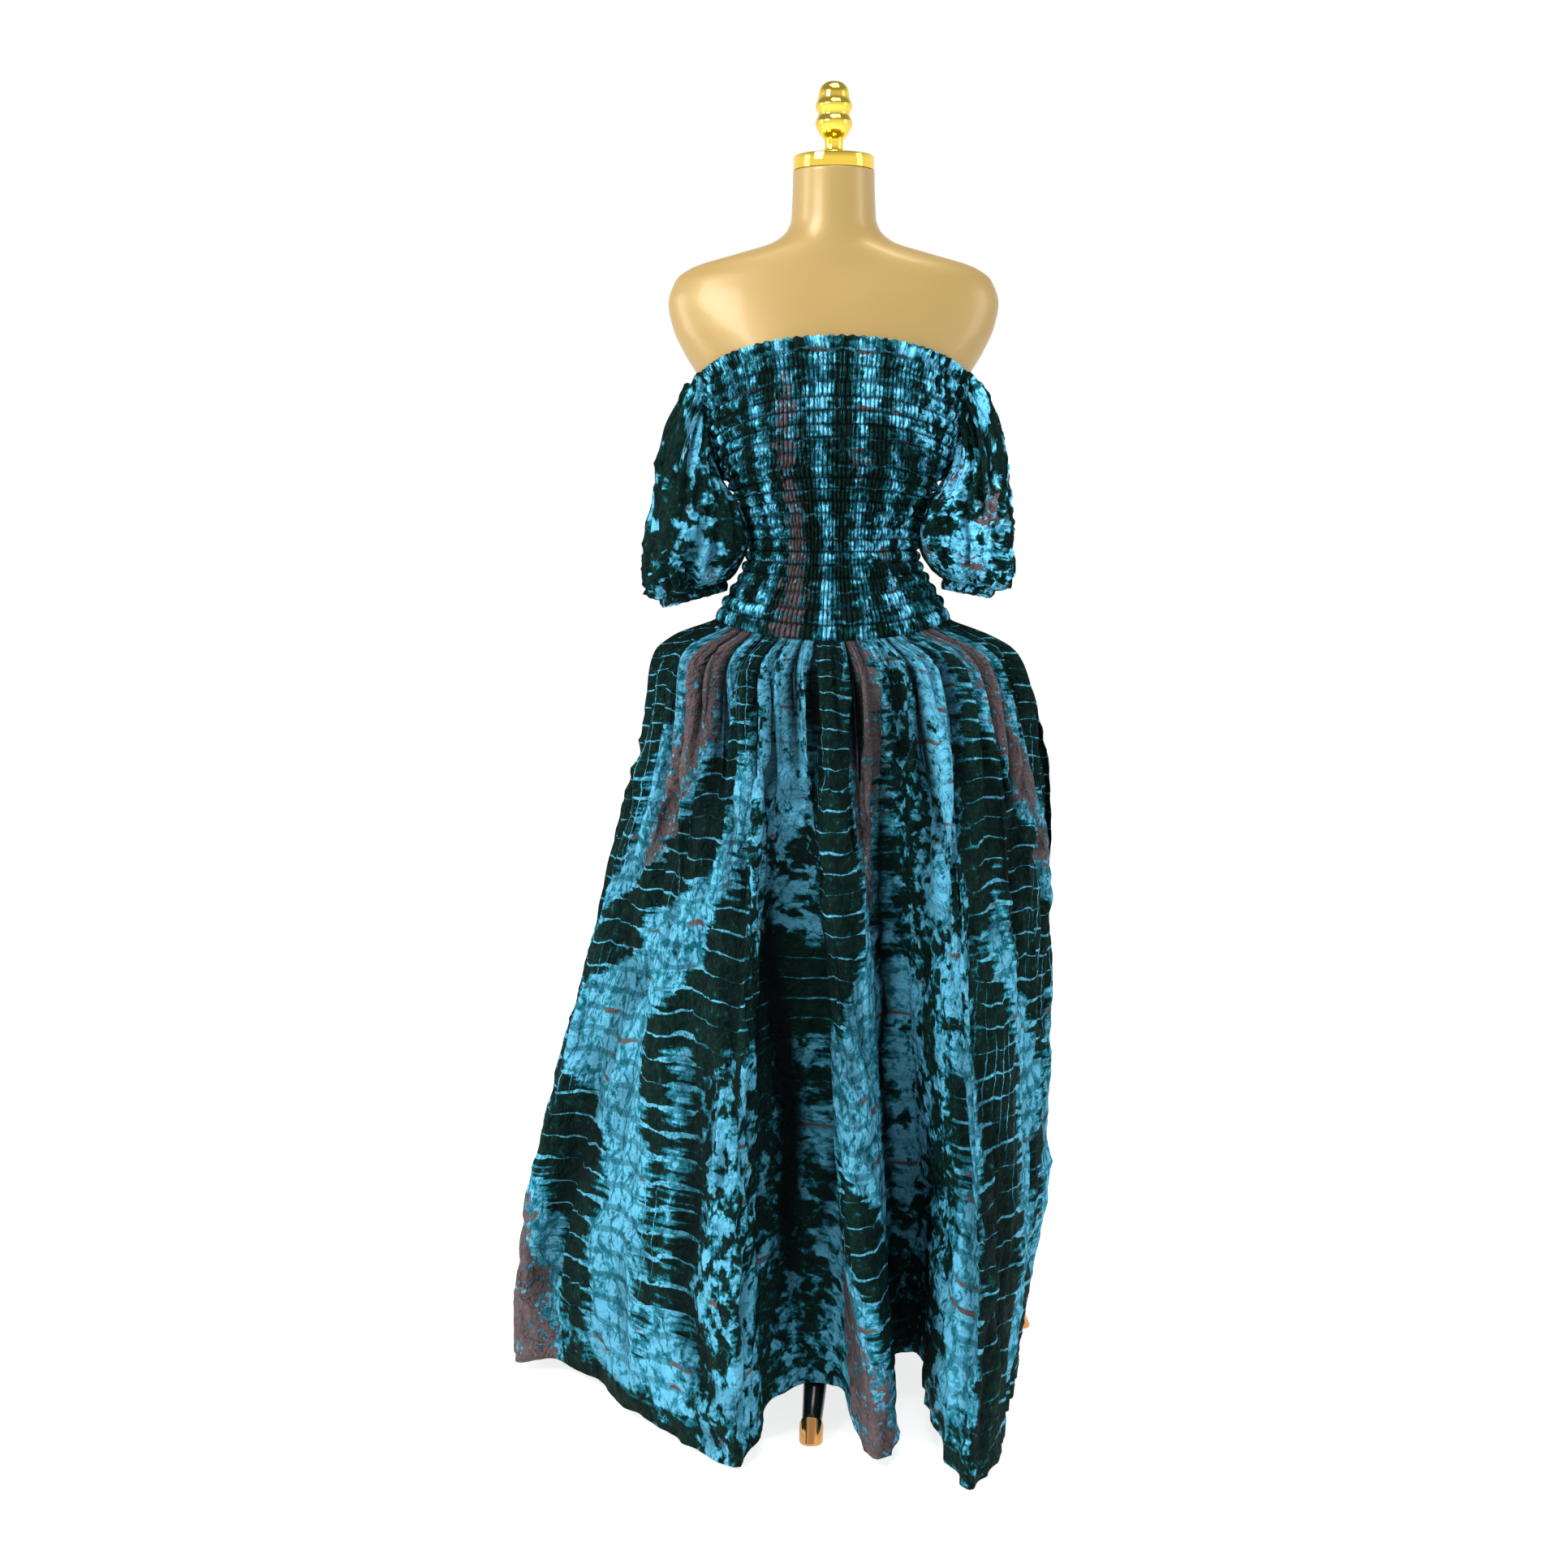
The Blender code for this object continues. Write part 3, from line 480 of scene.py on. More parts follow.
skirt = {
    "columns": 328, "rows": 143, "cut": (1.90, 0.98), "flat": (1.90, 0.99), "area": 1.45,
    # height, left, right, front, back
    "girths": [
        (0.012, 0.406, 0.244, 0.325, 0.322), (0.148, 0.398, 0.267, 0.312, 0.315),
        (0.275, 0.371, 0.277, 0.295, 0.305), (0.400, 0.337, 0.273, 0.275, 0.292),
        (0.525, 0.302, 0.270, 0.252, 0.275), (0.648, 0.268, 0.263, 0.232, 0.256),
        (0.739, 0.239, 0.255, 0.216, 0.240), (0.800, 0.223, 0.247, 0.206, 0.226),
        (0.860, 0.211, 0.236, 0.192, 0.208), (0.890, 0.206, 0.225, 0.180, 0.194),
        (0.920, 0.194, 0.208, 0.162, 0.172), (0.945, 0.172, 0.178, 0.138, 0.146),
        (0.960, 0.156, 0.158, 0.118, 0.124),
    ],
    # one line of cloth each: angle at the waist seam, then the end on the hem
    "folds": [
        (180, -0.406, 0.020, 0.014), (190, -0.396, -0.050, 0.012), (200, -0.352, -0.062, 0.020),
        (212, -0.300, -0.125, 0.016), (224, -0.225, -0.245, 0.014), (236, -0.150, -0.345, 0.012),
        (243, -0.108, -0.383, 0.012), (246, -0.092, -0.322, 0.022), (250, -0.074, -0.264, 0.050),
        (257, 0.002, -0.256, 0.058), (262, 0.022, -0.312, 0.026), (267, 0.045, -0.356, 0.012),
        (272, 0.065, -0.318, 0.020), (278, 0.066, -0.180, 0.054), (286, 0.107, -0.152, 0.058),
        (292, 0.112, -0.232, 0.034), (299, 0.124, -0.370, 0.014), (304, 0.142, -0.436, 0.010),
        (310, 0.167, -0.405, 0.012), (318, 0.192, -0.300, 0.014), (330, 0.217, -0.150, 0.020),
        (345, 0.238, -0.030, 0.034), (360, 0.246, 0.050, 0.056), (372, 0.252, 0.125, 0.062),
        (386, 0.262, 0.215, 0.024), (398, 0.225, 0.300, 0.012), (408, 0.160, 0.258, 0.026),
        (416, 0.118, 0.218, 0.034), (426, 0.095, 0.325, 0.016), (434, 0.050, 0.385, 0.010),
        (442, 0.008, 0.325, 0.016), (450, -0.020, 0.245, 0.034), (460, -0.070, 0.300, 0.018),
        (470, -0.130, 0.372, 0.010), (480, -0.188, 0.328, 0.016), (490, -0.215, 0.266, 0.030),
        (502, -0.275, 0.290, 0.016), (514, -0.345, 0.240, 0.010), (527, -0.388, 0.130, 0.013),
        (540, -0.406, 0.020, 0.014),
    ],
    "frontColumns": 75, "backColumns": 66, "seamHeight": 0.940, "hemWeight": 0.4, "levelPower": 1.18,
    "leaveLevel": 0.045, "foldGrowth": 1.15, "turnUp": 0.026, "turnUpStep": 0.0007,
    # gathers at the waist, three columns each, with three little puckers on each
    "gatherHeight": 0.0210, "gatherWander": 0.16, "gatherStrength": (0.6, 1.4), "gatherReach": (0.20, 0.62),
    "puckerHeight": 0.0022, "softFold": 0.009, "softWaves": (23, 14), "softStart": 0.22, "softFade": 0.75,
    # the disorder of washed cotton
    "creaseGain": 1.6, "broad": 0.0075, "folded": 0.0085, "nipped": 0.0028, "highest": 0.011,
    # how dark the painted shade is in the deep folds, the creases, the gathers, their puckers and the hollows
    "foldShade": 0.62, "creaseShade": 90, "gatherShade": 0.95, "puckerShade": 0.55, "hollowShade": 0.50,
}
girthLeft, girthRight, girthFront, girthBack = (smoothRows(skirt["girths"], 0, k) for k in (1, 2, 3, 4))
foldAngles = [row[0] for row in skirt["folds"]]


def hemPoint(angle):
    # where the cloth that leaves the waist at this angle meets the hem
    folds = skirt["folds"]
    count = len(folds) - 1
    i = min(bisect_right(foldAngles, angle) - 1, count - 1)
    four = []
    for k in (i - 1, i, i + 1, i + 2):
        row = folds[k % count]
        four.append((row[0] + 360 * (k // count), Vector(row[1:])))
    (a0, p0), (a1, p1), (a2, p2), (a3, p3) = four
    t = (angle - a1) / (a2 - a1)
    start = (p2 - p0) * (a2 - a1) / (a2 - a0)
    end = (p3 - p1) * (a2 - a1) / (a3 - a1)
    return (p1 * (1 + 2 * t) * (1 - t) ** 2 + start * t * (1 - t) ** 2
            + p2 * t * t * (3 - 2 * t) + end * t * t * (t - 1))


def clothAngles(first, last):
    # the angle at any share of a panel's cloth, with more cloth where more reaches the hem
    fine = 600  # steps along the seam
    angles = [first + (last - first) * i / fine for i in range(fine + 1)]
    hems = [hemPoint(a) for a in angles]
    lengths = [0.0]
    for i in range(fine):
        seam = math.radians(angles[i + 1] - angles[i]) * figureSide(skirt["seamHeight"])
        lengths.append(lengths[-1] + seam + skirt["hemWeight"] * (hems[i + 1] - hems[i]).length)

    def read(share):
        wanted = share * lengths[-1]
        i = min(bisect_right(lengths, wanted) - 1, fine - 1)
        part = (wanted - lengths[i]) / (lengths[i + 1] - lengths[i])
        return angles[i] + (angles[i + 1] - angles[i]) * min(1.0, part)

    return read


def girthPoint(angle, z):
    side = girthLeft(z) if math.cos(angle) < 0 else girthRight(z)
    deep = girthFront(z) if math.sin(angle) < 0 else girthBack(z)
    return Vector((side * math.cos(angle), deep * math.sin(angle), z))


def gatherBeat(across, columns, level):
    # which gather a point lies in; a whole number is on a ridge
    beat = (across * columns - 1) / 3
    return beat + skirt["gatherWander"] * math.sin(9 * level + 3.7 * int(beat + 0.5)) * ease(level, 0.0, 0.06)


def skirtPlace(angleAt, columns, gathers):
    # gathers holds how strong and how long each waist gather is
    def place(across, down):
        level = down ** skirt["levelPower"]
        degrees = angleAt(across)
        angle = math.radians(degrees)
        hem = hemPoint(degrees)
        topZ = waistSeamZ(angle) - cloth["seamGap"]
        z = topZ + (hem.z - topZ) * level
        seam = figurePoint(angle, topZ, cloth["formClearance"] + cloth["wall"])
        leaving = min(1.0, level / skirt["leaveLevel"])
        started = min(1.0, level / skirt["softStart"])
        plain = seam.xy.lerp(girthPoint(angle, z).xy, leaving * (2 - leaving))
        folded = (hem - girthPoint(angle, hem.z)).xy * level ** skirt["foldGrowth"]
        beat = gatherBeat(across, columns, level)
        strength, reach = gathers[int(beat + 0.5) % len(gathers)]
        ridge = (0.5 + 0.5 * math.cos(2 * math.pi * beat)) ** 0.8
        gather = skirt["gatherHeight"] * ridge * strength * ease(level, -0.004, 0.022)
        gather *= max(0.0, 1 - level / reach)
        pucker = skirt["puckerHeight"] * math.cos(6 * math.pi * beat) * ease(level, 0, 0.01)
        pucker *= 1 - ease(level, 0.03, 0.13)
        quick, slow = skirt["softWaves"]
        soft = math.cos(angle * quick + 1.3 * math.sin(3 * angle)) + 0.6 * math.cos(angle * slow + 2.0)
        soft *= skirt["softFold"] * started * (1 - skirt["softFade"] * level)
        raised = gather + pucker + soft + skirt["softFold"] * started * (1 - level)
        flat = plain + folded + heading(angle) * raised
        return Vector((flat.x, flat.y, z))

    return place


def skirtCrumple(creases, columns, seed, angleAt):
    # long creases listed one by one, then the soft disorder of washed cotton
    def crumple(across, down):
        level = down ** skirt["levelPower"]
        column = across * columns
        angle = math.radians(angleAt(across))
        hem = hemPoint(angleAt(across))
        sunk = -(hem - girthPoint(angle, hem.z)).xy.dot(heading(angle)) * level ** skirt["foldGrowth"]
        rise = 0.0
        # painted shade: the base colour is darkened in deep folds, along the creases, in the gather valleys and
        # puckers, and in hollows, where shade falls
        shade = skirt["foldShade"] * ease(sunk, 0.015, 0.120)
        for top, topColumn, bottom, bottomColumn, width, height in creases:
            if top < level < bottom:
                t = (level - top) / (bottom - top)
                # one flank is steep and the other gentle, so the fold throws a shadow line
                centre = topColumn + (bottomColumn - topColumn) * t + 0.25 * math.sin(9 * t + topColumn)
                depth = math.sin(math.pi * t) ** 0.6
                away = (column - centre) / width * (1 if int(3 * topColumn) % 2 else -1)
                flank = math.exp(-(away / (0.5 if away > 0 else 1.7)) ** 2)
                rise += skirt["creaseGain"] * height * depth * flank
                line = math.exp(-(abs(away) / 0.36) ** 1.6)
                shade = max(shade, -skirt["creaseShade"] * height * depth * line)
        width, length = skirt["cut"]
        u, v = across * width, down * length
        broad = noiseAt(u * 7, v * 5, seed)
        folds = creaseNoise(u * 17 + broad, v * 9 + 2 * broad, seed + 9)
        nips = creaseNoise(u * 34, v * 30 + 3 * broad, seed + 21)
        crumpled = broad * skirt["broad"] + (folds - 0.6) * skirt["folded"] + (nips - 0.6) * skirt["nipped"]
        rise += ease(level, 0.02, 0.25) * crumpled
        beat = gatherBeat(across, columns, level)
        valley = (0.5 - 0.5 * math.cos(2 * math.pi * beat)) ** 2.4
        deepening = skirt["gatherShade"] + 0.6 * noiseAt(beat * 0.7, seed, 2.5)
        valley *= deepening * (1 - ease(level, 0.05, 0.16 + 0.30 * deepening))
        little = (0.5 - 0.5 * math.cos(6 * math.pi * beat)) ** 3 * skirt["puckerShade"]
        little *= 1 - ease(level, 0.02, 0.11)
        shade = max(shade, ease(level, -0.02, 0.008) * max(valley, little))
        shade = max(shade, skirt["hollowShade"] * ease(-rise, 0.001, 0.008))
        turned = (1 - down) * length < skirt["turnUp"]
        return min(skirt["highest"], rise) + (skirt["turnUpStep"] if turned else 0.0), shade

    return crumple


# light bands and mauve streaks of the dye: (level, centre, half width)
skirtDye = {
    "front": {
        "bands": [
            [(-.01, 11.8, 4.4), (.10, 11.5, 4.6), (.19, 8.5, 4.2), (.29, 6.2, 2.4), (.40, 1.5, 1.2),
             (.46, -1, -1)],
            [(.09, 18.5, 0.2), (.19, 17.6, 1.1), (.29, 16.2, 1.4), (.39, 11.4, 3.2), (.54, 4.8, 5.6),
             (.62, 8.0, 3.6), (.69, 10.0, 2.1), (.85, 10.2, 2.3), (1.01, 10.0, 1.6)],
            [(.66, 0.5, -1), (.74, 1.6, 1.8), (.86, 2.4, 2.8), (1.01, 2.8, 3.2)],
            [(.46, 13.6, -.4), (.52, 13.6, .26), (.69, 13.7, .30), (.84, 13.6, .35), (.90, 13.9, 1.3),
             (1.01, 14.0, 1.0)],
            [(-.01, 22.6, 3.3), (.12, 22.8, 3.2), (.22, 22.0, 2.0), (.34, 21.5, .2)],
            [(-.01, 32.0, 2.2), (.19, 31.9, 2.3), (.39, 31.9, 1.9), (.47, 30.4, 2.8), (.54, 29.4, 4.4),
             (.63, 29.6, 4.2), (.71, 31.2, 2.2), (.82, 32.6, 1.4), (.92, 33.0, -.5)],
            [(.44, 25.6, -.4), (.52, 25.9, .8), (.66, 25.6, .7), (.76, 25.2, -.4)],
            [(.74, 25.6, -.5), (.82, 26.0, 1.8), (.93, 26.8, 2.2), (1.01, 27.6, 2.4)],
            [(.38, 34.6, -.5), (.48, 34.4, 1.4), (.68, 34.2, 1.2), (.82, 34.4, -.3)],
            [(-.01, 39.6, 3.6), (.12, 39.6, 3.2), (.30, 39.4, 1.6), (.42, 39.8, 1.8), (.50, 41.5, 1.6),
             (.60, 42.4, 1.4), (.70, 41.7, 1.5), (.85, 41.2, 2.0), (1.01, 41.0, .8)],
            [(-.01, 47.8, 3.4), (.10, 48.2, 3.2), (.19, 51.8, 3.0), (.30, 56.0, 2.6), (.42, 59.0, 1.6),
             (.48, 61, -.5)],
            [(.28, 45.8, -.3), (.38, 45.6, 1.2), (.48, 48.5, 2.2), (.58, 50.4, 2.6), (.72, 50.0, 1.8),
             (.86, 49.5, 1.2), (1.01, 48.5, .6)],
            [(.50, 57.6, .4), (.70, 57.2, 1.8), (1.01, 56.6, 1.4)],
            [(.50, 18.8, .2), (.70, 18.6, .6), (.90, 18.4, .9), (1.01, 18.2, .8)],
            [(.46, 22.9, -.8), (.60, 22.9, -.7), (.80, 22.7, -.4), (1.01, 22.6, -.5)],
        ],
        "streaks": [
            [(-.01, 11.9, 2.5), (.10, 11.4, 2.4), (.20, 9.6, 1.8), (.30, 7.2, .9), (.34, 6.4, -.5)],
            [(-.01, 32.3, 1.3), (.12, 32.2, 1.7), (.22, 32.1, 1.7), (.34, 32.0, 1.2), (.44, 32.0, -.2)],
            [(-.01, 47.4, 2.0), (.10, 48.2, 2.2), (.20, 52.0, 1.6), (.30, 56.2, 1.0), (.38, 58.2, -.3)],
            [(.70, 1.2, -.3), (.80, 1.8, 1.2), (.90, 2.4, 2.0), (1.01, 2.8, 2.2)],
            [(.76, 25.6, -.4), (.84, 26.0, 1.0), (.93, 26.8, 1.6), (1.01, 27.8, 1.5)],
        ],
        # from column, to column, from level, to level, how blotchy
        "bursts": [
            (18.6, 25.2, -.1, .42, 1.0), (34.6, 43.4, -.1, .52, .9), (15.4, 21.6, .50, 1.1, 1.0),
            (21.6, 24.9, .50, 1.1, .85), (33.6, 39.6, .48, 1.1, .9), (3.0, 22.0, .93, 1.1, .6),
            (38.0, 46.0, .90, 1.1, .7),
        ],
        "hems": [(6.0, 21.0), (36.0, 45.0)],  # where the turned-up hem is dark
    },
    "back": {
        "bands": [
            [(-.01, 6.0, 2.6), (.25, 6.6, 2.0), (.55, 5.2, 2.8), (.8, 6.2, 2.0), (1.01, 5.6, 2.4)],
            [(-.01, 15.4, 3.2), (.2, 15.0, 3.0), (.42, 13.8, 2.2), (.62, 14.6, 2.9), (1.01, 14.0, 1.8)],
            [(.12, 21.5, -.4), (.3, 21.8, 1.3), (.7, 22.6, 1.6), (1.01, 22.0, .9)],
            [(-.01, 29.6, 2.4), (.3, 29.4, 2.2), (.52, 30.6, 3.4), (.78, 29.8, 2.4), (1.01, 30.2, 2.8)],
            [(-.01, 38.0, 1.6), (.34, 38.4, 1.8), (.68, 37.6, 2.2), (1.01, 38.6, 1.2)],
            [(-.01, 45.8, 3.2), (.26, 46.4, 2.6), (.5, 45.4, 1.8), (.74, 46.2, 2.8), (1.01, 45.6, 2.2)],
            [(-.01, 54.4, 1.8), (.4, 54.0, 2.2), (.7, 55.0, 2.6), (1.01, 54.6, 1.6)],
        ],
        "streaks": [
            [(-.01, 15.3, 1.9), (.18, 15.0, 1.7), (.34, 14.4, -.3)],
            [(.44, 30.6, -.4), (.54, 30.5, 1.4), (.66, 30.2, 1.6), (.8, 29.8, -.4)],
            [(-.01, 45.8, 2.0), (.2, 46.2, 1.7), (.36, 46.0, -.3)],
            [(.8, 5.8, -.3), (.9, 5.7, 1.4), (1.01, 5.6, 1.8)],
        ],
        "bursts": [
            (17.6, 24.6, -.1, .46, .95), (33.4, 41.4, .30, 1.1, .9), (49.6, 57.0, -.1, .50, .9),
            (8.0, 20.0, .90, 1.1, .7),
        ],
        "hems": [(24.0, 34.0)],
    },
}


def skirtMarks(dyeing):
    width, length = skirt["cut"]

    def marks(across, down):
        column, level = across * dyeColumns, down ** skirt["levelPower"]
        band = bandMark(dyeing["bands"], width / dyeColumns, column, level)
        streak = bandMark(dyeing["streaks"], width / dyeColumns, column, level)
        for left, right in dyeing["hems"]:
            if left < column < right and (1 - down) * length < skirt["turnUp"]:
                band, streak = -0.05, -0.09
        return band, streak, patchMark(dyeing["bursts"], column, level, 1.2, 0.8)

    return marks


# troughs and ridges: top level, its column, bottom level, its column, width in columns, height
skirtCreases = {
    "front": [
        (.24, 28.2, .95, 28.9, 2.2, -.016), (.05, 26.7, .62, 27.2, 1.0, -.013),
        (.02, 32.6, .92, 29.2, 1.1, -.014), (.05, 42.6, .92, 42.3, 1.0, -.014),
        (.03, 47.2, .50, 46.4, .8, -.011), (.02, 54.4, .36, 52.0, .8, -.009), (.01, 24.3, .20, 24.6, .6, -.009),
        (.01, 36.2, .28, 36.8, .7, -.010), (.02, 39.4, .30, 39.8, .6, -.007), (.02, 15.6, .40, 13.8, .9, -.008),
        (.02, 19.8, .30, 18.6, .7, -.008), (.02, 58.6, .48, 63.0, .9, -.008), (.04, 51.0, .26, 50.0, .6, .006),
        (.03, 9.5, .50, 6.0, 1.0, -.006), (.03, 66.0, .56, 69.5, .9, -.007), (.20, 22.6, .60, 22.0, .8, -.007),
        (.45, 8.0, .92, 4.5, 1.3, -.007), (.52, 17.5, .96, 19.0, 1.2, -.008), (.60, 13.0, .98, 10.0, 1.2, .006),
        (.55, 55.5, .96, 58.0, 1.1, -.008), (.62, 66.5, .97, 67.5, 1.1, -.007), (.66, 34.0, .96, 36.0, 1.0, .006),
        (.40, 50.0, .96, 52.5, .9, -.008), (.30, 30.4, .56, 30.0, .7, .006), (.80, 3.0, .99, 7.0, .9, -.007),
    ],
    "back": [
        (.05, 5.0, .50, 6.5, .9, -.007), (.06, 12.0, .60, 11.0, 1.0, -.008), (.04, 19.0, .44, 20.5, .8, -.006),
        (.08, 27.5, .66, 26.0, 1.0, -.008), (.05, 33.5, .42, 34.0, .8, .006), (.06, 40.0, .58, 41.5, 1.0, -.008),
        (.04, 47.0, .40, 46.0, .8, -.006), (.08, 54.5, .62, 55.5, 1.0, -.008), (.05, 61.0, .46, 59.5, .8, -.006),
        (.48, 8.5, .96, 9.5, 1.2, -.006), (.50, 23.0, .97, 22.0, 1.2, .006), (.52, 37.0, .96, 36.0, 1.2, -.006),
        (.50, 51.0, .97, 50.0, 1.3, -.006), (.54, 61.5, .96, 62.5, 1.2, .005),
    ],
}


def makeSkirtPanel(name, node, side, first, last, seed):
    luck = random.Random(seed)
    columns = skirt[side + "Columns"]
    gathers = [(luck.uniform(*skirt["gatherStrength"]), luck.uniform(*skirt["gatherReach"]))
               for _ in range(columns // 3)]
    angleAt = clothAngles(first, last)
    return clothPiece(name, skirt, skirtPlace(angleAt, columns, gathers), skirtMarks(skirtDye[side]),
                      skirtCrumple(skirtCreases[side], columns, seed, angleAt), finishes[name], node)


skirtFront = makeSkirtPanel("skirtFront", "skirt_front", "front", 180, 360, 4)
skirtBack = makeSkirtPanel("skirtBack", "skirt_back", "back", 360, 540, 8)
print("skirt sewn:", len(skirtFront.data.polygons) + len(skirtBack.data.polygons), "faces")


# Bodice: rows of elastic thread pull the cloth into small upright puffs

bodice = {
    "columns": 375, "rows": 114, "cut": (0.68, 0.40), "flat": (0.58, 0.39), "area": 0.22,
    "threads": 22, "crowding": 0.018, "sideSeam": 0.0012, "underarmRow": 13, "armholeHalfAngle": 20,
    # the puffs: height, how unlike each other, how far one row is shifted against the next
    "puffs": 75, "puffHeight": 0.0060, "puffRange": (0.62, 1.2), "puffShift": 0.42, "lowestRow": 0.55,
    "frill": 0.0034, "rowWander": 0.0011, "lowerEdgeWander": 0.0045,
    # how much of the dye shows on a puff, how far it jumps, and how blotchy it is at least
    "dyeReach": 1.7, "dyeHop": 0.8, "blotchy": 0.32,
    # how dark the painted shade is between the puffs and along the threads
    "puffShade": 0.97, "threadShade": 0.94,
}


def armholeAngle(row):
    share = max(0.0, (row - bodice["underarmRow"]) / (bodice["threads"] - bodice["underarmRow"]))
    return math.radians(bodice["armholeHalfAngle"]) * share ** 0.5


def rowHeight(angle, row):
    low = waistSeamZ(angle)
    share = row / bodice["threads"]
    spread = share + bodice["crowding"] * math.sin(2 * math.pi * share)
    return low + (necklineZ(angle) - low) * spread


def bodicePlace(panelStart):
    def place(across, down):
        row = (1 - down) * bodice["threads"]
        inset = armholeAngle(row) + bodice["sideSeam"]
        angle = panelStart + inset + (math.pi - 2 * inset) * across
        point = figurePoint(angle, rowHeight(angle, row), cloth["formClearance"] + cloth["wall"])
        if 0 < down < 1:
            point.z += bodice["rowWander"] * noiseAt(across * 14, row * 0.8, panelStart)
        ragged = 0.5 + noiseAt(across * 70, 3.0, panelStart)
        point.z -= bodice["lowerEdgeWander"] * ease(down, 0.965, 1.0) * ragged
        return point

    return place


def puffBeat(across, number, seed):
    # the puffs of one row stand a little beside those of the next
    shift = bodice["puffShift"] * noiseAt(across * 16, number * 3.7, seed)
    return max(0.0, across * bodice["puffs"] + shift * min(1.0, across * 40, (1 - across) * 40))


def shirredSpread(seed):
    # only the top of each puff shows, so the dye jumps from puff to puff and from row to row
    def spread(across, down, middle):
        number = int((1 - middle[1]) * bodice["threads"])
        puff = int(puffBeat(middle[0], number, seed))
        part = puffBeat(across, number, seed) - puff
        hop = bodice["dyeHop"] * noiseAt(puff * 0.9, number * 1.3, seed + 4)
        return (puff + 0.5 + (part - 0.5) * bodice["dyeReach"] + hop) / bodice["puffs"]

    return spread


def bodicePuffs(seed):
    luck = random.Random(seed)
    puffs, threads = bodice["puffs"], bodice["threads"]
    tall = [[luck.uniform(*bodice["puffRange"]) for _ in range(puffs + 2)] for _ in range(threads + 1)]

    def crumple(across, down):
        row = (1 - down) * threads
        number = min(int(row), threads - 1)
        part = row - number
        beat = puffBeat(across, number, seed)
        ridge = abs(math.sin(math.pi * beat)) ** 1.05
        swell = math.sin(math.pi * part) ** 0.60
        height = bodice["puffHeight"] * tall[number][int(beat)] * (0.05 + 0.95 * ridge)
        # painted shade: the base colour darkens between the puffs and along the threads, where shade falls
        betweenPuffs = 1 - ease(min(beat % 1, 1 - beat % 1), 0.04, 0.25)
        onThread = 1 - ease(min(part, 1 - part), 0.03, 0.19)
        shade = max(bodice["puffShade"] * betweenPuffs, bodice["threadShade"] * onThread)
        if number == threads - 1:
            # the topmost row is the loose frill above the last thread
            swell = ease(part, 0.0, 0.45)
            wave = math.sin(math.pi * beat * 0.9 + puffs * across * 0.13)
            # the frill's painted shade is darker where its wave dips and low down next to the thread
            return bodice["frill"] * swell * (0.45 + wave), 0.35 * ease(-wave, 0, 1) + 0.5 * (1 - swell)
        height *= bodice["lowestRow"] if number == 0 else 1.0
        return height * (0.06 + 0.94 * swell) + 0.0005 * ridge, shade

    return crumple


bodiceDye = {
    "front": {
        "bands": [
            [(-.01, 3.0, 1.0), (1.01, 4.0, 1.4)],
            [(-.01, 9.5, 2.0), (.5, 10.5, 1.6), (1.01, 9.5, 1.8)],
            [(-.01, 15.0, 1.4), (.45, 16.4, 1.8), (1.01, 16.0, 1.0)],
            [(-.01, 21.2, 1.5), (.4, 21.4, 2.0), (1.01, 22.4, 2.4)],
            [(-.01, 27.8, 2.2), (.5, 27.6, 1.7), (1.01, 28.6, 1.4)],
            [(-.01, 35.6, 2.0), (.4, 34.6, 1.2), (.8, 35.4, 1.6), (1.01, 35.0, 1.8)],
            [(-.01, 42.4, 2.4), (.35, 41.6, 1.2), (1.01, 42.0, 1.9)],
            [(-.01, 49.0, 2.0), (.6, 48.6, 1.0), (1.01, 49.4, 1.9)],
            [(-.01, 55.8, 1.2), (1.01, 55.4, 1.6)],
        ],
        "streaks": [
            [(.08, 21.2, -.3), (.18, 21.3, 1.2), (.5, 21.4, 1.5), (.8, 21.8, 1.9), (1.01, 22.6, 2.4)],
            [(.3, 34.4, -.4), (.4, 34.4, .5), (.5, 34.6, -.3)],
            [(.6, 41.8, -.4), (.72, 41.8, .6), (.85, 42, -.3)],
        ],
        "bursts": [(44.0, 61.0, -.1, .35, .75), (36.0, 48.0, .55, 1.1, .6), (-1.0, 8.0, -.1, .5, .6)],
    },
    "back": {
        "bands": [[(-.01, c, h), (.5, c + s, h * 1.3), (1.01, c - s, h)] for c, h, s in (
            (4, 1.4, .6), (11, 2.0, -.8), (18, 1.2, .5), (25, 2.2, .7),
            (33, 1.5, -.6), (40, 2.1, .8), (47, 1.3, -.5), (55, 1.9, .4))],
        "streaks": [[(.2, 25.4, -.3), (.35, 25.5, .9), (.8, 25.0, 1.1), (1.01, 24.6, 1.2)]],
        "bursts": [(6.0, 16.0, -.1, .5, .7), (42.0, 52.0, .4, 1.1, .7)],
    },
}


def bodiceMarks(dyeing):
    unit = bodice["cut"][0] / dyeColumns

    def marks(across, down):
        column = across * dyeColumns
        burst = max(bodice["blotchy"], patchMark(dyeing["bursts"], column, down, 2, 2))
        return (bandMark(dyeing["bands"], unit, column, down),
                bandMark(dyeing["streaks"], unit, column, down), burst)

    return marks


def makeBodicePanel(name, node, side, start, seed):
    settings = dict(bodice, spread=shirredSpread(seed))
    return clothPiece(name, settings, bodicePlace(start), bodiceMarks(bodiceDye[side]),
                      bodicePuffs(seed), finishes["bodice"], node)


bodiceFront = makeBodicePanel("bodiceFront", "bodice_front", "front", math.pi, 11)
bodiceBack = makeBodicePanel("bodiceBack", "bodice_back", "back", 0.0, 12)
print("bodice smocked:", bodice["threads"], "rows of", bodice["puffs"], "puffs a panel")


# Sleeves

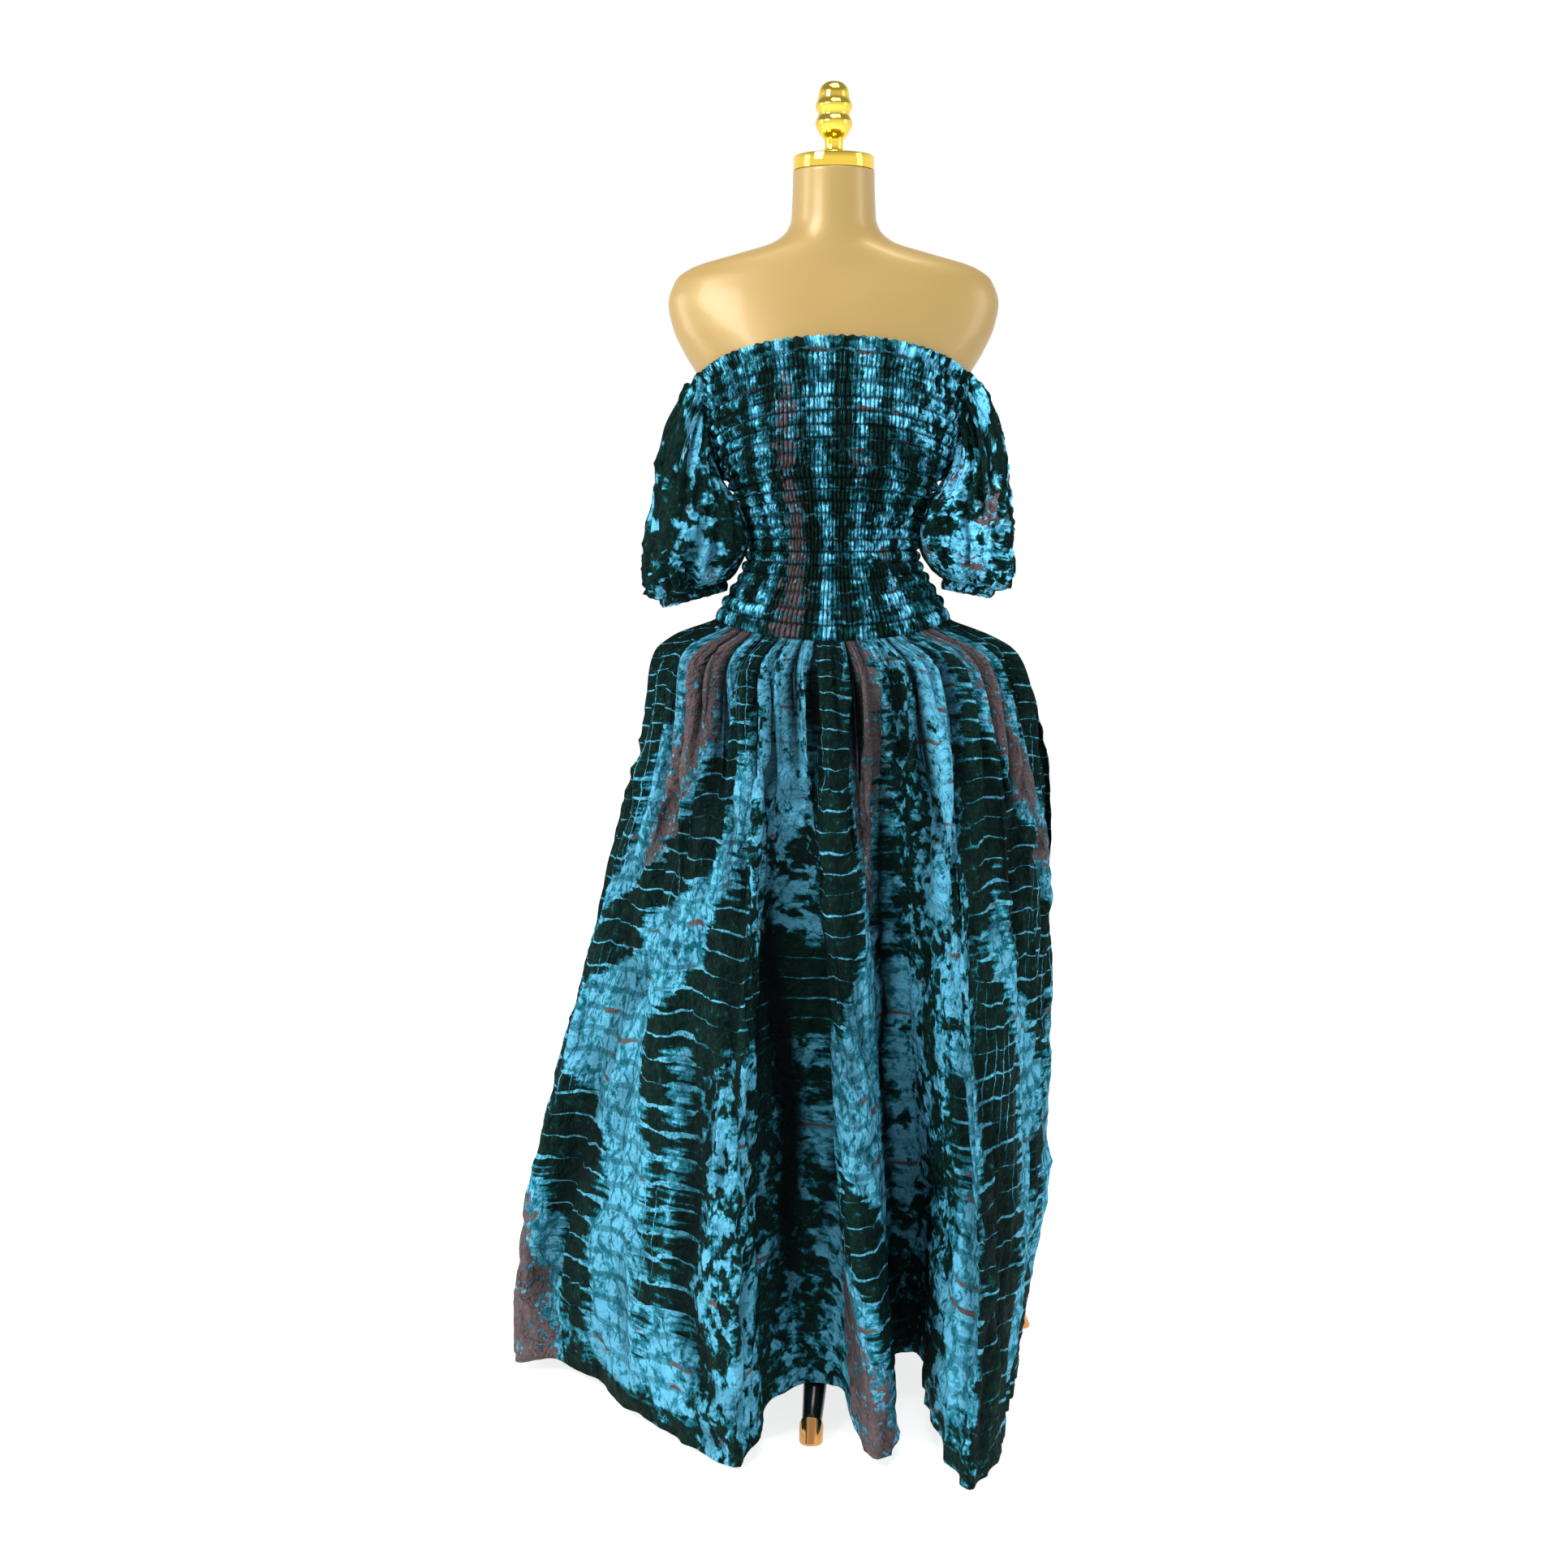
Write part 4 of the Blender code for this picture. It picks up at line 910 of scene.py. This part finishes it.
sleeve = {
    "columns": 150, "rows": 110, "cut": (0.56, 0.34), "flat": (0.46, 0.31), "area": 0.13, "closed": True,
    "topReach": 0.171, "topDip": 0.013, "frontCorner": 9, "around": 24,
    "foldShare": 0.075, "stand": 0.007, "armholeSeam": 0.0005,
    # crumples, the nip of the cuff and the small gathers around both ends
    "broad": 0.008, "folded": 0.016, "nipped": 0.0042, "cuffNip": 0.0030, "gathers": 0.0016,
    # the length of the dye spots, and how dark the painted shade is in hollows and at the cuff
    "spotLength": 0.30, "hollowShade": 0.55, "cuffShade": 0.6,
    # share away from the armhole, inner x, inner z, outer x, outer z, depth, folds, hug
    "leftRings": [
        (0.00, 0.150, 1.130, 0.184, 1.240, 0.040, 0.0, 0.000),
        (0.10, 0.152, 1.130, 0.184, 1.222, 0.044, 0.0, 0.000),
        (0.60, 0.142, 1.118, 0.203, 1.188, 0.056, 0.4, 0.012),
        (1.00, 0.126, 1.098, 0.214, 1.148, 0.068, 0.9, 0.028),
        (1.00, 0.116, 1.074, 0.224, 1.100, 0.076, 1.0, 0.034),
        (1.00, 0.112, 1.050, 0.232, 1.052, 0.078, 1.0, 0.030),
        (1.00, 0.114, 1.030, 0.235, 1.012, 0.072, 1.0, 0.014),
        (1.00, 0.120, 1.014, 0.231, 0.988, 0.060, 0.8, 0.000),
        (1.00, 0.129, 1.003, 0.220, 0.978, 0.046, 0.4, 0.000),
        (1.00, 0.132, 0.991, 0.212, 0.970, 0.044, 0.5, 0.000),
    ],
    "rightRings": [
        (0.00, 0.150, 1.130, 0.187, 1.241, 0.040, 0.0, 0.000),
        (0.10, 0.152, 1.130, 0.192, 1.222, 0.044, 0.0, 0.000),
        (0.60, 0.142, 1.119, 0.208, 1.188, 0.056, 0.4, 0.012),
        (1.00, 0.127, 1.100, 0.214, 1.150, 0.067, 0.9, 0.028),
        (1.00, 0.118, 1.080, 0.219, 1.104, 0.074, 1.0, 0.034),
        (1.00, 0.113, 1.058, 0.224, 1.060, 0.076, 1.0, 0.030),
        (1.00, 0.114, 1.036, 0.225, 1.024, 0.070, 1.0, 0.014),
        (1.00, 0.122, 1.018, 0.219, 1.000, 0.058, 0.8, 0.000),
        (1.00, 0.134, 1.006, 0.206, 0.990, 0.044, 0.4, 0.000),
        (1.00, 0.136, 0.993, 0.196, 0.982, 0.042, 0.5, 0.000),
    ],
}


def armholeLoop(column):
    # where the sleeve meets the bodice, or ends free between the two panels' top corners
    front = sleeve["frontCorner"]
    back = sleeve["around"] - front
    if front < column < back:
        share = (column - front) / (back - front)
        corner = armholeLoop(front)
        x = corner.x + (sleeve["topReach"] - corner.x) * math.sin(math.pi * share) ** 1.5
        return Vector((x, corner.y * (1 - 2 * share), corner.z - sleeve["topDip"] * math.sin(math.pi * share)))
    rowsUp = min(column, sleeve["around"] - column)
    row = bodice["underarmRow"] + rowsUp
    angle = armholeAngle(row)
    if column <= front:
        angle = -angle
    point = figurePoint(angle, rowHeight(angle, row), cloth["formClearance"])
    inward = -1.0 if point.y > 0 else 1.0
    return point + Vector((0, inward * sleeve["armholeSeam"] if rowsUp else 0, sleeve["armholeSeam"]))


def sleevePlace(rings, side):
    count = len(rings) - 1
    numbered = [(i, *row) for i, row in enumerate(rings)]
    share, innerX, innerZ, outerX, outerZ, depth, folds, hug = (smoothRows(numbered, 0, k) for k in range(1, 9))
    loops = {}

    def place(across, down):
        number = down * count
        turn = math.pi - 2 * math.pi * across
        inner = Vector((innerX(number), 0, innerZ(number)))
        outer = Vector((outerX(number), 0, outerZ(number)))
        wave = math.cos(5 * turn + 0.8) + 0.5 * math.cos(3 * turn + 2.1 + 0.15 * number)
        gathered = 0.35 * math.cos(13 * turn + 2.0) * ease(number, 6.2, 8.0)
        swell = sleeve["foldShare"] * folds(number) * (wave + gathered)
        swell = 1 + swell * (1 - max(0.0, -math.cos(turn))) ** 0.5
        spread = (outer - inner) / 2 * math.cos(turn)
        spread.x -= hug(number) * max(0.0, -math.cos(turn)) * abs(math.sin(turn))
        deep = Vector((0, -depth(number) * math.sin(turn), 0))
        free = (inner + outer) / 2 + (spread + deep) * swell
        if across not in loops:
            loops[across] = armholeLoop(across * sleeve["around"])
        bound = loops[across].copy()
        bound.x += sleeve["stand"] * ease(number, 0.0, 1.0)
        point = bound.lerp(free, share(number))
        return Vector((side * point.x, point.y, point.z))

    return place


def sleeveCrumple(side):
    def crumple(across, down):
        # the inner side keeps clear of the bodice
        turn = math.pi - 2 * math.pi * across
        away = ease(math.cos(turn), -0.9, -0.2)
        around = Vector((math.cos(turn) * 2.2, math.sin(turn) * 2.2))
        broad = noiseAt(around.x * 1.5, around.y * 1.5, down * 4 + side * 5)
        folds = creaseNoise(around.x * 2.6 + broad, around.y * 2.6, down * 3 + side * 9)
        nips = creaseNoise(around.x * 6, around.y * 6, down * 11 + side * 3)
        started = ease(down, 0.0, 0.2)
        calm = 1 - 0.9 * ease(down, 0.74, 0.88)
        crumpled = broad * sleeve["broad"] + (folds - 0.55) * sleeve["folded"] + (nips - 0.6) * sleeve["nipped"]
        rise = away * started * calm * crumpled
        cuff = bump(down, 0.90, 0.018) * -sleeve["cuffNip"]
        ruffle = sleeve["gathers"] * math.sin(19 * turn + 2 * broad) * ease(down, 0.91, 1.0)
        ruffle *= 1 - ease(abs(math.cos(turn)), 0.75, 0.97)
        puffs = sleeve["gathers"] * math.sin(26 * turn) * (1 - ease(down, 0.02, 0.16)) * ease(down, 0.0, 0.03)
        # painted shade in the hollows of the crumples and in the nip of the cuff
        shade = sleeve["hollowShade"] * ease(-rise, 0.001, 0.006)
        shade += sleeve["cuffShade"] * bump(down, 0.90, 0.014)
        return rise + cuff + (ruffle + puffs) * away, shade

    return crumple


def sleeveMarks(bias, spots):
    # mostly blotchy; a few listed patches are lighter, some with mauve hearts
    def marks(across, down):
        band, streak = bias, -0.09
        for place, level, reach, strength, heart in spots:
            gap = ((across - place + 0.5) % 1 - 0.5) * sleeve["cut"][0]
            drop = (down - level) * sleeve["spotLength"]
            points = 1 + 0.26 * math.cos(7 * math.atan2(drop, gap) + 40 * place)
            far = math.hypot(gap, drop)
            band = max(band, bias + (strength - bias) * math.exp(-(far / reach / points) ** 2))
            if heart:
                streak = max(streak, 1.5 * heart * points - far)
        return band, streak, 1.0

    return marks


sleeveDye = {
    # share across, level, reach, lightness, mauve heart
    "right": {"level": -0.028, "spots": [
        (.31, .46, .030, .17, .008), (.25, .69, .026, .16, .007), (.09, .63, .026, .15, .006),
        (.18, .28, .030, .15, .003), (.35, .22, .024, .14, 0), (.37, .88, .020, .13, .003),
        (.19, .88, .018, .12, 0), (.43, .58, .018, .12, 0), (.54, .36, .026, .14, .006),
        (.62, .60, .028, .15, .007), (.74, .34, .026, .14, .004), (.84, .62, .026, .15, .006),
        (.70, .84, .024, .12, 0), (.93, .30, .028, .13, 0),
    ]},
    "left": {"level": -0.084, "spots": [
        (.29, .22, .036, .17, .002), (.34, .12, .024, .13, 0), (.39, .47, .018, .12, 0),
        (.26, .46, .024, .13, 0), (.41, .84, .018, .12, 0), (.21, .62, .020, .12, 0),
        (.17, .75, .024, .13, .003), (.09, .36, .026, .12, 0), (.56, .60, .030, .14, .003),
        (.66, .30, .028, .13, 0), (.78, .62, .030, .14, .003), (.88, .28, .024, .12, 0),
    ]},
}


def makeSleeve(name, node, hand, side):
    # side is 1 at the right of the picture and -1 at the left, where the tube comes out mirrored
    settings = dict(sleeve, mirrored=side < 0)
    marks = sleeveMarks(sleeveDye[hand]["level"], sleeveDye[hand]["spots"])
    return clothPiece(name, settings, sleevePlace(sleeve[hand + "Rings"], side), marks,
                      sleeveCrumple(side), finishes[name], node)


sleeveRight = makeSleeve("sleeveRight", "sleeve_right", "right", 1)
sleeveLeft = makeSleeve("sleeveLeft", "sleeve_left", "left", -1)
print("sleeves set in")

for piece, settings, held, carried in (
    (skirtFront, skirt, "gathered", ["bodiceFront"]), (skirtBack, skirt, "gathered", ["bodiceBack"]),
    (bodiceFront, bodice, "stretched", ["dressForm"]), (bodiceBack, bodice, "stretched", ["dressForm"]),
    (sleeveLeft, sleeve, "gathered", ["bodiceFront", "bodiceBack"]),
    (sleeveRight, sleeve, "gathered", ["bodiceFront", "bodiceBack"]),
):
    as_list(carried)


# Form, cap, finial, pole and hub

def tube(bm, around, rings):
    # a circle extruded ring by ring; each ring is a function of the angle
    first = bmesh.ops.create_circle(bm, segments=around, radius=1.0)["verts"]
    angles = [2 * math.pi * i / around for i in range(around)]
    current = sorted(first, key=lambda v: math.atan2(v.co.y, v.co.x) % (2 * math.pi))
    edges = list(bm.edges)
    for number, ring in enumerate(rings):
        if number:
            made = bmesh.ops.extrude_edge_only(bm, edges=edges)["geom"]
            edges = [e for e in made if isinstance(e, bmesh.types.BMEdge)]
            fresh = {v for e in edges for v in e.verts}
            edges = [e for e in edges if all(v in fresh for v in e.verts)]
            current = [next(e.other_vert(old) for e in old.link_edges if e.other_vert(old) in fresh)
                       for old in current]
        for vert, angle in zip(current, angles):
            vert.co = ring(angle)


def capTube(bm):
    bmesh.ops.holes_fill(bm, edges=[e for e in bm.edges if e.is_boundary], sides=0)
    bmesh.ops.recalc_face_normals(bm, faces=bm.faces)


form = {"around": 128, "rows": 150, "low": 0.775, "top": 1.503, "edge": 0.0015}
bm = bmesh.new()
heights = [form["low"] + (form["top"] - form["low"]) * i / form["rows"] for i in range(form["rows"] + 1)]
tube(bm, form["around"], [lambda angle, z=z: figurePoint(angle, z, 0.0) for z in heights])
capTube(bm)
rims = [e for e in bm.edges if len(e.link_faces) == 2 and max(len(f.verts) for f in e.link_faces) > 4]
bmesh.ops.bevel(bm, geom=rims, offset=form["edge"], segments=2, profile=0.5, affect="EDGES", material=-1)
finishPiece("dressForm", bm, finishes["form"], "form_torso", "champagne_paint")


def turnedPiece(name, profile, steps, material, node, slot):
    # a profile of (radius, height) spun about the stand's axis
    bm = bmesh.new()
    verts = [bm.verts.new((radius, 0, z)) for radius, z in profile]
    edges = [bm.edges.new(pair) for pair in zip(verts, verts[1:])]
    bmesh.ops.spin(bm, geom=verts + edges, cent=(0, 0, 0), axis=(0, 0, 1), angle=2 * math.pi,
                   steps=steps, use_merge=True, use_duplicate=False)
    bmesh.ops.remove_doubles(bm, verts=bm.verts, dist=0.00001)
    bmesh.ops.recalc_face_normals(bm, faces=bm.faces)
    return finishPiece(name, bm, material, node, slot, sharpAngle=38)


def rounded(profile, steps):
    # a smooth line through a profile's points
    fine = []
    for i in range(len(profile) - 1):
        p0, p1 = Vector(profile[max(i - 1, 0)]), Vector(profile[i])
        p2, p3 = Vector(profile[i + 1]), Vector(profile[min(i + 2, len(profile) - 1)])
        for k in range(steps):
            t = k / steps
            fine.append(tuple(0.5 * ((2 * p1) + (p2 - p0) * t + (2 * p0 - 5 * p1 + 4 * p2 - p3) * t * t
                                     + (3 * p1 - p0 - 3 * p2 + p3) * t ** 3)))
    return fine + [tuple(profile[-1])]


cap = {
    "radius": 0.0497, "height": 0.0172, "gap": 0.0003, "around": 96,
    # the rounded edges: how far in from the rim, how far from the lower or upper face
    "lowEdge": [(0.0012, 0.0), (0.0003, 0.0004), (0.0, 0.0014)],
    "topEdge": [(0.0, 0.0016), (0.0005, 0.0005), (0.0016, 0.0)],
}
capLow = form["top"] + cap["gap"]
capHigh = capLow + cap["height"]
capLine = [(0.0, capLow)] + [(cap["radius"] - inset, capLow + rise) for inset, rise in cap["lowEdge"]]
capLine += [(cap["radius"] - inset, capHigh - drop) for inset, drop in cap["topEdge"]] + [(0.0, capHigh)]

finial = {
    # radius, height over the cap
    "seat": [(0.0, 0.0003), (0.0155, 0.0003)],
    "knobs": [(0.0160, 0.0030), (0.0120, 0.0070), (0.0118, 0.0190), (0.0185, 0.0285), (0.0230, 0.0400),
              (0.0190, 0.0500), (0.0228, 0.0600), (0.0198, 0.0680), (0.0175, 0.0800), (0.0105, 0.0878),
              (0.0, 0.0905)],
    "roundness": 6, "around": 64,
}
finialLine = [(max(radius, 0.0), capHigh + z)
              for radius, z in finial["seat"] + rounded(finial["knobs"], finial["roundness"])]

pole = {"radius": 0.0125, "low": 0.2253, "top": 0.7747, "around": 40}
poleLine = [(0.0, pole["low"]), (pole["radius"], pole["low"]),
            (pole["radius"], pole["top"]), (0.0, pole["top"])]

hub = {
    "line": [(0.0, 0.148), (0.0150, 0.148), (0.0165, 0.1485), (0.0285, 0.158), (0.0300, 0.160), (0.0300, 0.213),
             (0.0288, 0.2145), (0.0190, 0.2245), (0.0180, 0.225), (0.0, 0.225)],
    "around": 60,
}
for name, line, settings, finish, node, slot in (
    ("neckCap", capLine, cap, "gold", "neck_cap", "polished_gold"),
    ("finialKnob", finialLine, finial, "gold", "finial", "polished_gold"),
    ("standPole", poleLine, pole, "black", "stand_pole", "gloss_black"),
    ("standHub", hub["line"], hub, "black", "stand_hub", "gloss_black"),
):
    turnedPiece(name, line, settings["around"], finishes[finish], node, slot)


# Legs and feet

leg = {
    "azimuths": (-96, 24, 144), "around": 24, "soleReach": 0.281, "roundness": 5,
    # reach from the axis, height, radius
    "line": [(0.0293, 0.190, 0.0165), (0.0600, 0.190, 0.0175), (0.1000, 0.176, 0.0185), (0.1400, 0.142, 0.0180),
             (0.1800, 0.098, 0.0165), (0.2200, 0.058, 0.0145), (0.2500, 0.033, 0.0128), (0.2700, 0.021, 0.0118)],
    "foot": [(0.2703, 0.0208, 0.0128), (0.2745, 0.0183, 0.0142)],
    "sole": [(0.0140, 0.003), (0.0130, 0.000)],
}


def legAxes(azimuth):
    out = Vector((math.cos(azimuth), math.sin(azimuth), 0))
    return out, Vector((-out.y, out.x, 0))


def limbRings(azimuth, rows, slopes):
    # circles of (reach, height, radius), each tilted by its slope
    out, side = legAxes(azimuth)
    rings = []
    for (reach, z, radius), slope in zip(rows, slopes):
        up = Vector((0, 0, math.cos(slope))) - out * math.sin(slope)
        centre = out * reach + Vector((0, 0, z))
        rings.append(lambda a, c=centre, u=up, r=radius: c + r * (side * math.cos(a) + u * math.sin(a)))
    return rings


def soleRings(azimuth, rows):
    # level circles of (radius, height) under the end of a leg
    out, side = legAxes(azimuth)
    rings = []
    for radius, z in rows:
        centre = out * leg["soleReach"] + Vector((0, 0, z))
        rings.append(lambda a, c=centre, r=radius: c + r * (side * math.cos(a) + out * math.sin(a)))
    return rings


legLine = rounded(leg["line"], leg["roundness"])
legSlopes = [math.atan2(after[1] - before[1], after[0] - before[0])
             for before, after in zip([legLine[0]] + legLine, legLine[1:] + [legLine[-1]])]
legSlopes[0] = 0.0  # the first circle stands upright against the hub
for number, degrees in enumerate(leg["azimuths"], 1):
    azimuth = math.radians(degrees)
    footRings = limbRings(azimuth, leg["foot"], [legSlopes[-1]] * 2) + soleRings(azimuth, leg["sole"])
    for name, rings, finish, slot, sharpAngle in (
        ("leg", limbRings(azimuth, legLine, legSlopes), "black", "gloss_black", 50),
        ("foot", footRings, "copper", "copper_ferrule", 40),
    ):
        bm = bmesh.new()
        tube(bm, leg["around"], rings)
        capTube(bm)
        finishPiece(f"{name}{number}", bm, finishes[finish], f"{name}_{number}", slot, sharpAngle)
print("form and stand turned")


# Floor, light and camera

studio = {
    "floor": 0.60, "floorReach": 7.0, "glow": 0.80,
    # white along the horizon, greyer overhead, so that the folds keep their shadows: (height, brightness)
    "sky": [(0.28, 1.0), (0.60, 0.35)],
    # name, place, height that it aims at, width, height, watts
    "boxes": [
        ("frontBox", (-2.0, -2.0, 2.7), 1.0, 1.3, 1.3, 66.0),
        ("leftBox", (-2.8, -0.3, 1.6), 0.8, 0.8, 2.0, 26.0),
        ("rightBox", (2.8, -0.6, 1.8), 0.8, 0.8, 2.0, 16.0),
        ("topBox", (0.2, -0.4, 3.4), 0.9, 1.4, 1.4, 44.0),
    ],
}
floorPaint = plainFinish("paleFloor", (studio["floor"],) * 3, 0.9)
floorShader = floorPaint.node_tree.nodes["Principled BSDF"]
floorShader.inputs["Emission Color"].default_value = (1.0, 1.0, 1.0, 1.0)
floorShader.inputs["Emission Strength"].default_value = studio["glow"]
bm = bmesh.new()
bmesh.ops.create_grid(bm, x_segments=1, y_segments=1, size=studio["floorReach"])
floorMesh = bpy.data.meshes.new("paleFloor")
bm.to_mesh(floorMesh)
bm.free()
floorMesh.materials.append(floorPaint)
floor = bpy.data.objects.new("paleFloor", floorMesh)
bpy.context.scene.collection.objects.link(floor)

world = bpy.data.worlds.new("studio")
world.use_nodes = True
sky = world.node_tree
coordinates = sky.nodes.new("ShaderNodeTexCoord")
height = sky.nodes.new("ShaderNodeSeparateXYZ")
shades = sky.nodes.new("ShaderNodeValToRGB")
sky.links.new(coordinates.outputs["Generated"], height.inputs[0])
sky.links.new(height.outputs["Z"], shades.inputs[0])
sky.links.new(shades.outputs[0], sky.nodes["Background"].inputs["Color"])
for stop, (place, shade) in zip(shades.color_ramp.elements, studio["sky"]):
    stop.position, stop.color = place, (shade, shade, shade, 1)
bpy.context.scene.world = world
bpy.context.scene.view_settings.view_transform = "Standard"

for name, place, aimZ, width, height, power in studio["boxes"]:
    light = bpy.data.lights.new(name, "AREA")
    light.shape = "RECTANGLE"
    light.size, light.size_y, light.energy = width, height, power
    lamp = bpy.data.objects.new(name, light)
    lamp.location = place
    lamp.rotation_euler = (Vector((0, 0, aimZ)) - Vector(place)).to_track_quat("-Z", "Y").to_euler()
    bpy.context.scene.collection.objects.link(lamp)

view = {"distance": 2.85, "height": 1.066, "pitch": 0.1112, "offset": -0.061, "lens": 52.17}
cameraData = bpy.data.cameras.new("camera")
cameraData.lens = view["lens"]
cameraData.sensor_width = 36.0
camera = bpy.data.objects.new("camera", cameraData)
camera.location = (standAxis.x + view["offset"], standAxis.y - view["distance"], view["height"])
camera.rotation_euler = (math.pi / 2 - view["pitch"], 0, 0)
bpy.context.scene.collection.objects.link(camera)
bpy.context.scene.camera = camera
print("floor, light and camera set")
